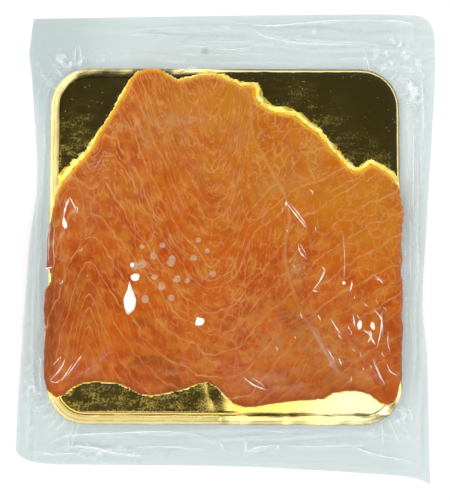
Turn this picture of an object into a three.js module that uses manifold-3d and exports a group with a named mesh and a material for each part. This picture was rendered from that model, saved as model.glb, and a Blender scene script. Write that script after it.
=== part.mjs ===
// A flat vacuum pack of smoked salmon, lying on its base film.
// Three overlapping slices lie on a gold card with a bent rim, between a flat
// base film and a top film that is drawn down over them to a flat margin.
// Millimetres, +Z up. The origin is the centre of the underside.
import * as THREE from "three";
import { mergeVertices } from "three/addons/utils/BufferGeometryUtils.js";
import Module from "manifold-3d";

const wasm = await Module();
wasm.setup();

// Driving dimensions.
const FILM = 0.3; // wall of each film
const GAP = 0.3; // clearance between neighbouring pieces
const CARD = { width: 180, depth: 183, corner: 20, thick: 0.8, rim: 5, drop: 1.2 };
const SLICE_THICK = 5.6; // a slice well inside its outline, lying on the card
const SLICE_LEAST = 2; // a slice where it lies over others
const PRESSED = 7.8; // height above the card to which the stack is pressed
const SLICE_EDGE = 0.5; // share of the thickness left at the outline
const SLICE_TAPER = 14; // width over which a slice thins towards its outline
const SLICE_FADE = 6; // width outside the outline over which the layer above comes down
const SLAB_LEAST = 0.2; // thickness of a slice's slab past its end, before it is cut to the outline
const ENDED = 1e-3; // a layer thinner than this has ended
const CELL = 7.5; // spacing of the lattice that all draped layers share
const BEYOND = 3; // how far the lattice runs past the pouch before it is cut to the outline
const OUTLINE_STEPS = 96; // sides of a slice's outline
const OUTLINE_CURVE = 5; // sides of the pouch's outline between two of its points
const RAGGED = 0.7; // unevenness of a slice's cut edge

// Levels, from the underside up.
const CARD_FOOT = FILM + GAP; // underside of the card's rim
const CARD_TOP = CARD_FOOT + CARD.thick + CARD.drop; // upper face of the card
const MARGIN = FILM + GAP; // underside of the top film where it lies on the base film

const looks = {
  film: { color: 0xd3dddb, roughness: 0.15, metalness: 0, transparent: true, opacity: 0.3 },
  card: { color: 0x9a7a34, roughness: 0.3, metalness: 0.8 },
  salmon: { color: 0xc8651f, roughness: 0.45, metalness: 0 },
};

// Outlines are seen from above, from the centre of the card.
// Each slice's points run clockwise round its cut edge.
const SLICES = {
  // Lies on the card, behind the other two, and shows at the back right.
  salmon_back: [
    [6, 81], [15, 82], [18, 72], [36, 66], [52, 53], [66, 38], [76, 41],
    [87, 33], [89, 16], [62, 9], [30, 10], [2, 22], [-12, 46], [-8, 74],
  ],
  // Lies over the front of the back slice and shows at the front right.
  salmon_right: [
    [26, 12], [48, 24], [87, 31], [90, -10], [90, -48], [88, -74], [84, -81],
    [66, -74], [46, -77], [24, -74], [12, -56], [12, -20],
  ],
  // The large top slice, which shows from the left edge to past the middle.
  salmon_left: [
    [-89, -74], [-91, -40], [-90, 0], [-86, 26], [-68, 51], [-55, 74], [-45, 89],
    [-33, 91], [-26, 85], [-6, 88], [12, 78], [16, 54], [33, 20], [32, -12],
    [44, -42], [59, -68], [52, -77], [28, -80], [6, -82], [-7, -70], [-24, -75],
    [-42, -76], [-54, -71], [-74, -71], [-83, -79],
  ],
};

// The pouch's outline, as its four sides and the tail at the front right.
const POUCH = {
  backLeft: [-100, 118],
  back: [[0, 120], [76, 121], [99, 120.5]],
  backRight: { through: [108.5, 120], to: [109, 108] },
  right: [[108.5, 80], [103, 4], [101, -29], [103, -62], [103.5, -108]],
  tail: [104, -121],
  front: [[92, -117], [48, -114], [-2, -112], [-84, -111.5]],
  frontLeft: { through: [-104, -111], to: [-105, -104] },
  left: [[-104, -74], [-100, -1], [-96.5, 32], [-99.5, 77], [-102, 100]],
};

const vector = ([x, y]) => new THREE.Vector2(x, y);
const smooth = (t) => THREE.MathUtils.smoothstep(t, 0, 1);

/** The outline of the whole pouch, both films alike. */
function pouchShape() {
  const shape = new THREE.Shape();
  const turn = ({ through, to }) => shape.quadraticCurveTo(...through, ...to);
  shape.moveTo(...POUCH.backLeft);
  shape.splineThru(POUCH.back.map(vector));
  turn(POUCH.backRight);
  shape.splineThru(POUCH.right.map(vector));
  shape.lineTo(...POUCH.tail);
  shape.splineThru(POUCH.front.map(vector));
  turn(POUCH.frontLeft);
  shape.splineThru(POUCH.left.map(vector));
  shape.closePath();
  return shape;
}

/** A rounded rectangle, as points of the same count for every size. */
function roundedRectangle(halfWidth, halfDepth, radius, arcSteps = 8) {
  const points = [];
  for (let corner = 0; corner < 4; corner++) {
    const signX = corner === 0 || corner === 3 ? 1 : -1;
    const signY = corner < 2 ? 1 : -1;
    for (let i = 0; i <= arcSteps; i++) {
      const angle = (corner + i / arcSteps) * (Math.PI / 2);
      points.push(
        new THREE.Vector2(
          signX * (halfWidth - radius) + radius * Math.cos(angle),
          signY * (halfDepth - radius) + radius * Math.sin(angle),
        ),
      );
    }
  }
  return points;
}

/** A slice's cut edge: a closed spline with a small, repeatable unevenness. */
function sliceOutline(points) {
  const curve = new THREE.CatmullRomCurve3(
    points.map(([x, y]) => new THREE.Vector3(x, y, 0)),
    true,
    "centripetal",
  );
  const outline = [];
  for (let i = 0; i < OUTLINE_STEPS; i++) {
    const at = curve.getPointAt(i / OUTLINE_STEPS);
    const along = curve.getTangentAt(i / OUTLINE_STEPS);
    const turn = (2 * Math.PI * i) / OUTLINE_STEPS;
    const off = RAGGED * (Math.sin(17 * turn) + 0.6 * Math.sin(29 * turn + 1)) * 0.5;
    outline.push(new THREE.Vector2(at.x - along.y * off, at.y + along.x * off));
  }
  return outline;
}

/** Distance from a point to a closed outline, negative inside it. */
function distanceTo(outline, x, y) {
  let nearest = Infinity;
  let inside = false;
  outline.forEach((a, i) => {
    const b = outline[(i + 1) % outline.length];
    const [dx, dy] = [b.x - a.x, b.y - a.y];
    const share = ((x - a.x) * dx + (y - a.y) * dy) / (dx * dx + dy * dy);
    const t = THREE.MathUtils.clamp(share, 0, 1);
    nearest = Math.min(nearest, Math.hypot(x - a.x - t * dx, y - a.y - t * dy));
    if (a.y > y !== b.y > y && x < a.x + ((y - a.y) * dx) / dy) inside = !inside;
  });
  return inside ? -nearest : nearest;
}

/** Lattice lines across one axis, with lines beside the card's edge and rim. */
function latticeLines(low, high, halfCard) {
  const clear = halfCard + 2;
  const middle = [];
  const count = Math.round((2 * clear) / CELL);
  for (let i = 0; i <= count; i++) middle.push(-clear + (2 * clear * i) / count);
  return [low, -clear - 4, ...middle, clear + 4, high];
}

const pouch = pouchShape();
const pouchPoints = pouch.getPoints(OUTLINE_CURVE);
const pouchBox = new THREE.Box2().setFromPoints(pouchPoints);
const cardEdge = roundedRectangle(CARD.width / 2, CARD.depth / 2, CARD.corner);

const lattice = {
  xs: latticeLines(pouchBox.min.x - BEYOND, pouchBox.max.x + BEYOND, CARD.width / 2),
  ys: latticeLines(pouchBox.min.y - BEYOND, pouchBox.max.y + BEYOND, CARD.depth / 2),
};

/** A value at every lattice crossing, as rows of y. */
const onLattice = (value) => lattice.ys.map((y, j) => lattice.xs.map((x, i) => value(x, y, i, j)));

/** A height table with each of its heights changed. */
const mapped = (table, change) => table.map((row, j) => row.map((z, i) => change(z, i, j)));

/** A closed slab between two height tables on the lattice. */
function slabGeometry(low, high) {
  const columns = lattice.xs.length;
  const rows = lattice.ys.length;
  const positions = [];
  for (const heights of [low, high])
    lattice.ys.forEach((y, j) => lattice.xs.forEach((x, i) => positions.push(x, y, heights[j][i])));
  const upper = columns * rows;
  const index = [];
  const quad = (a, b, c, d) => index.push(a, b, c, a, c, d);
  for (let j = 0; j + 1 < rows; j++)
    for (let i = 0; i + 1 < columns; i++) {
      const at = j * columns + i;
      quad(upper + at, upper + at + 1, upper + at + columns + 1, upper + at + columns);
      index.push(at, at + columns + 1, at + 1, at, at + columns, at + columns + 1);
    }
  const wall = (a, b) => quad(a, b, upper + b, upper + a);
  for (let i = 0; i + 1 < columns; i++) {
    wall(i, i + 1);
    wall((rows - 1) * columns + i + 1, (rows - 1) * columns + i);
  }
  for (let j = 0; j + 1 < rows; j++) {
    wall((j + 1) * columns, j * columns);
    wall(j * columns + columns - 1, (j + 1) * columns + columns - 1);
  }
  const geometry = new THREE.BufferGeometry();
  geometry.setAttribute("position", new THREE.Float32BufferAttribute(positions, 3));
  geometry.setIndex(index);
  return geometry;
}

/** A closed mesh geometry as a solid that can be cut. */
function solid(geometry) {
  const bare = geometry.clone();
  bare.deleteAttribute("normal");
  bare.deleteAttribute("uv");
  const merged = mergeVertices(bare, 1e-4);
  return new wasm.Manifold(
    new wasm.Mesh({
      numProp: 3,
      vertProperties: merged.attributes.position.array,
      triVerts: new Uint32Array(merged.index.array),
    }),
  );
}

/** A cut solid as a geometry to draw. */
function drawn(cut) {
  const mesh = cut.getMesh();
  const geometry = new THREE.BufferGeometry();
  geometry.setAttribute("position", new THREE.BufferAttribute(mesh.vertProperties, 3));
  geometry.setIndex(new THREE.BufferAttribute(mesh.triVerts, 1));
  geometry.computeVertexNormals();
  return geometry;
}

/** A slab on the lattice, cut upright along an outline. */
function draped(low, high, shape) {
  const height = 40;
  const prism = new THREE.ExtrudeGeometry(shape, {
    depth: height,
    bevelEnabled: false,
    curveSegments: OUTLINE_CURVE,
  }).translate(0, 0, -height / 4);
  return drawn(solid(slabGeometry(low, high)).intersect(solid(prism)));
}

/** The card: a plate whose rim is bent down all round. */
function cardGeometry() {
  const inner = roundedRectangle(
    CARD.width / 2 - CARD.rim,
    CARD.depth / 2 - CARD.rim,
    CARD.corner - CARD.rim,
  );
  const foot = CARD_FOOT;
  const rings = [
    { points: inner, z: foot + CARD.drop },
    { points: cardEdge, z: foot },
    { points: cardEdge, z: foot + CARD.thick },
    { points: inner, z: CARD_TOP },
  ];
  const count = cardEdge.length;
  const positions = rings.flatMap(({ points, z }) => points.flatMap((p) => [p.x, p.y, z]));
  positions.push(0, 0, foot + CARD.drop, 0, 0, CARD_TOP);
  const middleLow = rings.length * count;
  const index = [];
  for (let i = 0; i < count; i++) {
    const next = (i + 1) % count;
    for (let ring = 0; ring + 1 < rings.length; ring++) {
      const [a, b] = [ring * count, (ring + 1) * count];
      index.push(a + i, a + next, b + next, a + i, b + next, b + i);
    }
    const last = (rings.length - 1) * count;
    index.push(middleLow, next, i, middleLow + 1, last + i, last + next);
  }
  const geometry = new THREE.BufferGeometry();
  geometry.setAttribute("position", new THREE.Float32BufferAttribute(positions, 3));
  geometry.setIndex(index);
  geometry.computeVertexNormals();
  return geometry;
}

/** The share of its full thickness that a slice has at a distance from its outline. */
function sliceShare(distance) {
  if (distance > 0) return SLICE_EDGE * (1 - smooth(distance / SLICE_FADE));
  return SLICE_EDGE + (1 - SLICE_EDGE) * smooth(-distance / SLICE_TAPER);
}

/** A slice's full thickness over a given height: it is pressed thinner on top of others. */
const fullThickness = (low) =>
  THREE.MathUtils.clamp(CARD_TOP + PRESSED - low, SLICE_LEAST, SLICE_THICK);

const pack = new THREE.Group();
const contents = new THREE.Group();
pack.add(contents);
const centre = pouchBox.getCenter(new THREE.Vector2());
contents.position.set(-centre.x, -centre.y, 0);

function add(name, geometry, look) {
  const mesh = new THREE.Mesh(geometry, new THREE.MeshStandardMaterial(look));
  mesh.name = name;
  contents.add(mesh);
}

add(
  "film_base",
  new THREE.ExtrudeGeometry(pouch, {
    depth: FILM,
    bevelEnabled: false,
    curveSegments: OUTLINE_CURVE,
  }),
  looks.film,
);
add("gold_card", cardGeometry(), looks.card);

// Each slice rests on what is already there, a clearance above it.
let below = onLattice(() => CARD_TOP);
for (const [name, points] of Object.entries(SLICES)) {
  const outline = sliceOutline(points);
  const low = mapped(below, (z) => z + GAP);
  const thick = onLattice(
    (x, y, i, j) => fullThickness(low[j][i]) * sliceShare(distanceTo(outline, x, y)),
  );
  const high = mapped(low, (z, i, j) => z + Math.max(thick[j][i], SLAB_LEAST));
  add(name, draped(low, high, new THREE.Shape(outline)), looks.salmon);
  // Past the slice its layer comes back down to the one below.
  const settled = (z, i, j) => (thick[j][i] < ENDED ? z : low[j][i] + thick[j][i]);
  below = mapped(below, settled);
}

// The top film spans every cell that the card reaches, then drops to the margin.
const onCard = onLattice((x, y) => distanceTo(cardEdge, x, y) < 0);
const nearCard = (i, j) =>
  [-1, 0, 1].some((dj) => [-1, 0, 1].some((di) => onCard[j + dj]?.[i + di]));
const filmLow = mapped(below, (z, i, j) => (nearCard(i, j) ? z + GAP : MARGIN));
const filmHigh = mapped(filmLow, (z) => z + FILM);
add("film_top", draped(filmLow, filmHigh, pouch), looks.film);

export default pack;
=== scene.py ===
"""Looks of a flat clear vacuum pack of smoked salmon on a gold card.

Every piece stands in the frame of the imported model. Plans are in millimetres from the middle of the card,
with X to the right, Y to the back and heights above the surface that the pack lies on. Meshes are in metres.
"""

import logging
import math
from dataclasses import dataclass, field
from enum import Enum
from typing import Any, Callable

import bpy
import numpy as np
from mathutils import Matrix, Vector
from mathutils.bvhtree import BVHTree


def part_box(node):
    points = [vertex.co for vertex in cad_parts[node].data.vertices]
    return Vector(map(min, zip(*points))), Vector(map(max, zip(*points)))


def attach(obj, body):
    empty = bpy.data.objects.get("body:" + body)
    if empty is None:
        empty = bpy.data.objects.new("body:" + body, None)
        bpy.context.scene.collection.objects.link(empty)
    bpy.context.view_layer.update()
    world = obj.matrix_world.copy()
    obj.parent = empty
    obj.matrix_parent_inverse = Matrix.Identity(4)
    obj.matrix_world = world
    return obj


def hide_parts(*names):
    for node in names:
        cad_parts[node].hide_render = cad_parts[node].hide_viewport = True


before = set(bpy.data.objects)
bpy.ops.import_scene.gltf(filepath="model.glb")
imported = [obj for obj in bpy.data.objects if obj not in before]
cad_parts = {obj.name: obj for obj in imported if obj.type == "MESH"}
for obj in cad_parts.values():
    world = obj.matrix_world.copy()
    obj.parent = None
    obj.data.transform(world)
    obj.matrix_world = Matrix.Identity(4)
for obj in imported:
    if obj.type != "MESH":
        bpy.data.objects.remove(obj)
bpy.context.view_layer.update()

MM = 0.001
BODY = "root"
LOG = logging.getLogger("salmon_pack")
RIPPLE_SIZE = 64
RIPPLE_START = (31.3, 17.7)
FAR = 60.0
MERGE_GAP = 1e-6
LEAST_AREA = 1e-9
TOP_SLOPE = 0.2
UNKNOWN_GAP = 1e9
OUTSIDE = -99.0

Pair = tuple[float, float]
Colour = tuple[float, float, float]
Oval = tuple[float, float, float, float, float]
Field = np.ndarray
Thing = bpy.types.Object
Socket = bpy.types.NodeSocket


# Tools of the bench
# ------------------


def deselect_all() -> None:
    """Leaves nothing selected, so that an operator acts only on what is made next."""
    if bpy.context.object and bpy.context.object.mode != "OBJECT":
        bpy.ops.object.mode_set(mode="OBJECT")
    bpy.ops.object.select_all(action="DESELECT")


def take(piece: Thing) -> None:
    """Makes one piece the only selected and active one."""
    deselect_all()
    piece.select_set(True)
    bpy.context.view_layer.objects.active = piece


def modified(piece: Thing, kind: str, **settings: Any) -> None:
    """Adds a modifier to a piece and applies it.

    Args:
        piece: the mesh object.
        kind: the modifier's type, such as SOLIDIFY.
        settings: values of the modifier.
    """
    take(piece)
    modifier = piece.modifiers.new(kind.title(), kind)
    for name, value in settings.items():
        setattr(modifier, name, value)
    bpy.ops.object.modifier_apply(modifier=modifier.name)


def edited(piece: Thing, *steps: Callable[[], Any]) -> None:
    """Runs mesh operators, one after the other, on the whole of a piece in edit mode."""
    take(piece)
    bpy.ops.object.mode_set(mode="EDIT")
    bpy.ops.mesh.select_all(action="SELECT")
    for step in steps:
        step()
    bpy.ops.object.mode_set(mode="OBJECT")


def face_outwards() -> None:
    """Turns the chosen faces outwards; used in edit mode."""
    bpy.ops.mesh.normals_make_consistent(inside=False)


def shade_smooth(piece: Thing, angle: float) -> None:
    """Shades a piece smooth, apart from edges sharper than the angle in degrees."""
    take(piece)
    bpy.ops.object.shade_smooth_by_angle(angle=math.radians(angle))


def positions(piece: Thing) -> Field:
    """The vertices of a piece as rows of x, y and z in metres."""
    found = np.zeros(len(piece.data.vertices) * 3)
    piece.data.vertices.foreach_get("co", found)
    return found.reshape(-1, 3)


def set_positions(piece: Thing, places: Field) -> None:
    """Moves the vertices of a piece to new places, given in metres."""
    piece.data.vertices.foreach_set("co", np.asarray(places, float).ravel())
    piece.data.update()


def store(piece: Thing, name: str, values: Field) -> None:
    """Keeps a value or a vector for each vertex as an attribute that a material reads.

    Args:
        piece: the mesh object.
        name: the attribute's name.
        values: one number, or one row of three numbers, for each vertex.
    """
    kind = "FLOAT" if values.ndim == 1 else "FLOAT_VECTOR"
    attribute = piece.data.attributes.new(name, kind, "POINT")
    attribute.data.foreach_set("value" if values.ndim == 1 else "vector", values.astype(np.float32).ravel())


def ease(low: float, high: float, value: Any) -> Any:
    """A smooth step from 0 at low to 1 at high."""
    share = np.clip((np.asarray(value, float) - low) / (high - low), 0.0, 1.0)
    return share * share * (3.0 - 2.0 * share)


def hump(distance: Any, width: float) -> Any:
    """A round hump that is 1 at distance 0 and falls to a third at the width."""
    return np.exp(-((np.asarray(distance, float) / width) ** 2))


def between(table: Field, column: Field, row: Field, a: Field, b: Field) -> Field:
    """Reads a table between its nodes.

    Args:
        table: one value for each node.
        column: the nodes' columns.
        row: the nodes' rows.
        a: shares of the step to the next column.
        b: shares of the step to the next row.

    Returns:
        One value for each place.
    """
    right, back = (column + 1) % table.shape[1], (row + 1) % table.shape[0]
    near = table[row, column] * (1 - a) + table[row, right] * a
    far = table[back, column] * (1 - a) + table[back, right] * a
    return near * (1 - b) + far * b


def ripple(x: Field, y: Field, cell: float, seed: int) -> Field:
    """Soft uneven values from -1 to 1 over a plane, the same in each run.

    Args:
        x: places in millimetres.
        y: places in millimetres.
        cell: the size of one bump in millimetres.
        seed: picks the pattern.

    Returns:
        One value for each place.
    """
    table = np.random.RandomState(seed).uniform(-1.0, 1.0, (RIPPLE_SIZE, RIPPLE_SIZE))
    u, v = x / cell + RIPPLE_START[0], y / cell + RIPPLE_START[1]
    i, j = np.floor(u).astype(int), np.floor(v).astype(int)
    a, b = u - i, v - j
    a, b = a * a * (3 - 2 * a), b * b * (3 - 2 * b)
    return between(table, i % RIPPLE_SIZE, j % RIPPLE_SIZE, a, b)


def flat_grid(name: str, across: int, deep: int) -> Thing:
    """Adds a flat grid of the given numbers of cells, from -1 to 1 both ways."""
    deselect_all()
    bpy.ops.mesh.primitive_grid_add(x_subdivisions=across, y_subdivisions=deep, size=2.0)
    piece = bpy.context.object
    piece.name = name
    piece.data.name = name
    return piece


def finish_piece(piece: Thing, slot: str, *nodes: str) -> None:
    """Puts a finished piece on the pack's body and hides the CAD nodes that it stands for."""
    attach(piece, BODY)
    if nodes:
        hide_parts(*nodes)
    LOG.info("%s: %d vertices, %d faces", piece.name, len(piece.data.vertices), len(piece.data.polygons))


# Plans and heights
# -----------------


def card_middle() -> Pair:
    """The middle of the card in the row frame, in millimetres."""
    low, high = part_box("gold_card")
    return (low.x + high.x) / 2 / MM, (low.y + high.y) / 2 / MM


MIDDLE = card_middle()


def to_segment(x: Field, y: Field, start: Field, end: Field) -> tuple[Field, ...]:
    """How far places lie from a straight piece of line.

    Args:
        x: places in millimetres.
        y: places in millimetres.
        start: the piece's first end.
        end: its second end.

    Returns:
        The distances, the shares of its length at the nearest points, and these points' x and y.
    """
    side = end - start
    length = max(side @ side, LEAST_AREA)
    share = np.clip(((x - start[0]) * side[0] + (y - start[1]) * side[1]) / length, 0, 1)
    near_x, near_y = start[0] + share * side[0], start[1] + share * side[1]
    return np.hypot(x - near_x, y - near_y), share, near_x, near_y


class CadNode:
    """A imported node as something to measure: its plan outline and its heights."""

    def __init__(self, name: str) -> None:
        """Reads the node's mesh, in millimetres from the card's middle."""
        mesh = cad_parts[name].data
        self.name = name
        self.places = np.array([v.co for v in mesh.vertices]) / MM - np.array([MIDDLE[0], MIDDLE[1], 0.0])
        mesh.calc_loop_triangles()
        self.faces = [tuple(t.vertices) for t in mesh.loop_triangles]
        self.tree = BVHTree.FromPolygons([Vector(p) for p in self.places], self.faces)

    def height(self, x: float, y: float, from_above: bool = True) -> float:
        """The node's top, or its underside, at one place; not a number where it isn't there."""
        start, way = (FAR, -1.0) if from_above else (-FAR, 1.0)
        hit = self.tree.ray_cast(Vector((x, y, start)), Vector((0, 0, way)))
        return hit[0].z if hit[0] is not None else math.nan

    def outline(self) -> Field:
        """The node's outline seen from above, as an ordered closed loop of points."""
        keys = [tuple(np.round(p, 3)) for p in self.places]
        sides: dict[tuple, int] = {}
        for face in self.faces:
            a, b, c = (self.places[i] for i in face)
            normal = np.cross(b - a, c - a)
            size = np.linalg.norm(normal)
            if size < LEAST_AREA or normal[2] / size < TOP_SLOPE:
                continue
            for start, end in ((face[0], face[1]), (face[1], face[2]), (face[2], face[0])):
                pair = (keys[start], keys[end])
                if pair[::-1] in sides:
                    del sides[pair[::-1]]
                else:
                    sides[pair] = 1
        follow = {start[:2]: end[:2] for start, end in sides}
        loops: list[list[Pair]] = []
        while follow:
            first = next(iter(follow))
            loop, here = [first], follow.pop(first)
            while here != first and here in follow:
                loop.append(here)
                here = follow.pop(here)
            loops.append(loop)
        return np.array(max(loops, key=len), float)


class Outline:
    """A closed outline in plan, with the distance of any place to it."""

    def __init__(self, points: Field) -> None:
        """Keeps the points, counterclockwise."""
        x, y = points.T
        area = float(np.sum(x * np.roll(y, -1) - np.roll(x, -1) * y))
        self.points = points if area > 0 else points[::-1]

    def nearest(self, x: Field, y: Field) -> tuple[Field, Field, Field]:
        """Signed distances, positive inside, and the nearest points of the outline.

        Args:
            x: places in millimetres.
            y: places in millimetres.

        Returns:
            The distances, and the nearest points' x and y.
        """
        best = np.full(x.shape, UNKNOWN_GAP)
        near_x, near_y = np.zeros(x.shape), np.zeros(x.shape)
        inside = np.zeros(x.shape, bool)
        for start, end in zip(self.points, np.roll(self.points, -1, axis=0)):
            side = end - start
            gap, _, px, py = to_segment(x, y, start, end)
            closer = gap < best
            best = np.where(closer, gap, best)
            near_x, near_y = np.where(closer, px, near_x), np.where(closer, py, near_y)
            if side[1] != 0:
                over = (start[1] > y) != (end[1] > y)
                inside ^= over & (x < start[0] + (y - start[1]) * side[0] / side[1])
        return np.where(inside, best, -best), near_x, near_y

    def sides(self, steps_x: int, steps_y: int) -> tuple[Field, Field, Field, Field]:
        """The outline as four sides between its corners, each cut into even steps.

        Args:
            steps_x: cells along the front and the back.
            steps_y: cells along the left and the right.

        Returns:
            The front and the back from left to right, and the left and the right from front to back.
        """
        low, high = self.points.min(0), self.points.max(0)
        corners = [(low[0], low[1]), (high[0], low[1]), (high[0], high[1]), (low[0], high[1])]
        at = [int(np.argmin(np.hypot(*(self.points - np.array(c)).T))) for c in corners]
        found = []
        for start, end, steps in zip(at, at[1:] + at[:1], (steps_x, steps_y, steps_x, steps_y)):
            count = (end - start) % len(self.points)
            part = self.points[(start + np.arange(count + 1)) % len(self.points)]
            run = np.concatenate([[0.0], np.cumsum(np.hypot(*np.diff(part, axis=0).T))])
            even = np.linspace(0.0, run[-1], steps + 1)
            found.append(np.column_stack([np.interp(even, run, part[:, axis]) for axis in (0, 1)]))
        return found[0], found[2][::-1], found[3][::-1], found[1]


def spread_over(piece: Thing, outline: Outline, across: int, deep: int) -> tuple[Field, Field]:
    """Stretches a flat grid over an outline, so that the grid's sides lie on it.

    Args:
        piece: a grid from flat_grid.
        outline: the outline to fill.
        across: the grid's cells across.
        deep: the grid's cells deep.

    Returns:
        The x and y of each vertex in millimetres, in the order of the mesh.
    """
    front, back, left, right = outline.sides(across, deep)
    flat = positions(piece)
    i = np.rint((flat[:, 0] + 1) / 2 * across).astype(int)
    j = np.rint((flat[:, 1] + 1) / 2 * deep).astype(int)
    u, v = (i / across)[:, None], (j / deep)[:, None]
    ruled = front[i] * (1 - v) + back[i] * v + left[j] * (1 - u) + right[j] * u
    corners = (
        front[0] * (1 - u) * (1 - v) + front[-1] * u * (1 - v)
        + back[0] * (1 - u) * v + back[-1] * u * v
    )
    plan = ruled - corners
    return plan[:, 0], plan[:, 1]


def settle(piece: Thing, x: Field, y: Field, z: Field) -> None:
    """Moves the vertices to places in millimetres from the card's middle."""
    set_positions(piece, np.column_stack([x + MIDDLE[0], y + MIDDLE[1], z]) * MM)


@dataclass
class Lattice:
    """An even lattice over the whole pack, on which heights are worked out."""

    half_width: float = 111.0
    half_depth: float = 125.0
    pitch: float = 0.75
    x: Field = field(init=False)
    y: Field = field(init=False)

    def __post_init__(self) -> None:
        """Lays out the places, one row for each y."""
        columns = np.arange(-self.half_width, self.half_width + self.pitch / 2, self.pitch)
        rows = np.arange(-self.half_depth, self.half_depth + self.pitch / 2, self.pitch)
        self.x, self.y = np.meshgrid(columns, rows)

    def at(self, table: Field, x: Field, y: Field) -> Field:
        """Reads a table of heights at any places, between its nodes.

        Args:
            table: one value for each node.
            x: places in millimetres.
            y: places in millimetres.

        Returns:
            One value for each place.
        """
        rows, columns = table.shape
        u = np.clip((x + self.half_width) / self.pitch, 0, columns - 1.001)
        v = np.clip((y + self.half_depth) / self.pitch, 0, rows - 1.001)
        i, j = u.astype(int), v.astype(int)
        a, b = u - i, v - j
        return between(table, i, j, a, b)

    def heights(self, node: CadNode, where: Field, from_above: bool) -> Field:
        """The heights of a node at the marked places, and not a number elsewhere."""
        table = np.full(self.x.shape, math.nan)
        for j, i in zip(*np.nonzero(where)):
            table[j, i] = node.height(float(self.x[j, i]), float(self.y[j, i]), from_above)
        return table


def soften(table: Field, times: int) -> Field:
    """Averages each node with its neighbours, over the nodes that hold a number."""
    known = ~np.isnan(table)
    weight, total = known.astype(float), np.where(known, table, 0.0)
    for _ in range(times):
        for axis in (0, 1):
            weight = weight * 0.5 + (np.roll(weight, 1, axis) + np.roll(weight, -1, axis)) * 0.25
            total = total * 0.5 + (np.roll(total, 1, axis) + np.roll(total, -1, axis)) * 0.25
    return np.where(weight > 1e-6, total / np.maximum(weight, 1e-6), math.nan)


def smooth_line(points: tuple[Pair, ...], count: int) -> Field:
    """A smooth curve through points, as an even row of places.

    Args:
        points: the points in millimetres.
        count: how many places.

    Returns:
        One row of x and y for each place.
    """
    line = np.array(points, float)
    line = np.vstack([2 * line[0] - line[1], line, 2 * line[-1] - line[-2]])
    at = np.linspace(0.0, len(line) - 3 - 1e-6, count)
    k = at.astype(int)
    t = (at - k)[:, None]
    a, b, c, d = line[k], line[k + 1], line[k + 2], line[k + 3]
    return 0.5 * (2 * b + (c - a) * t + (2 * a - 5 * b + 4 * c - d) * t**2 + (3 * b - a - 3 * c + d) * t**3)


def distance_to_line(x: Field, y: Field, points: tuple[Pair, ...]) -> tuple[Field, Field]:
    """How far places lie from a line through points.

    Args:
        x: places in millimetres.
        y: places in millimetres.
        points: the line's points.

    Returns:
        The distances, and the share of the line's length at the nearest point.
    """
    line = np.array(points, float)
    steps = np.hypot(*np.diff(line, axis=0).T)
    run = np.concatenate([[0.0], np.cumsum(steps)])
    best, along = np.full(x.shape, UNKNOWN_GAP), np.zeros(x.shape)
    for k, (start, end) in enumerate(zip(line[:-1], line[1:])):
        gap, share, _, _ = to_segment(x, y, start, end)
        closer = gap < best
        best = np.where(closer, gap, best)
        along = np.where(closer, (run[k] + share * steps[k]) / run[-1], along)
    return best, along


# Materials
# ---------


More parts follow.
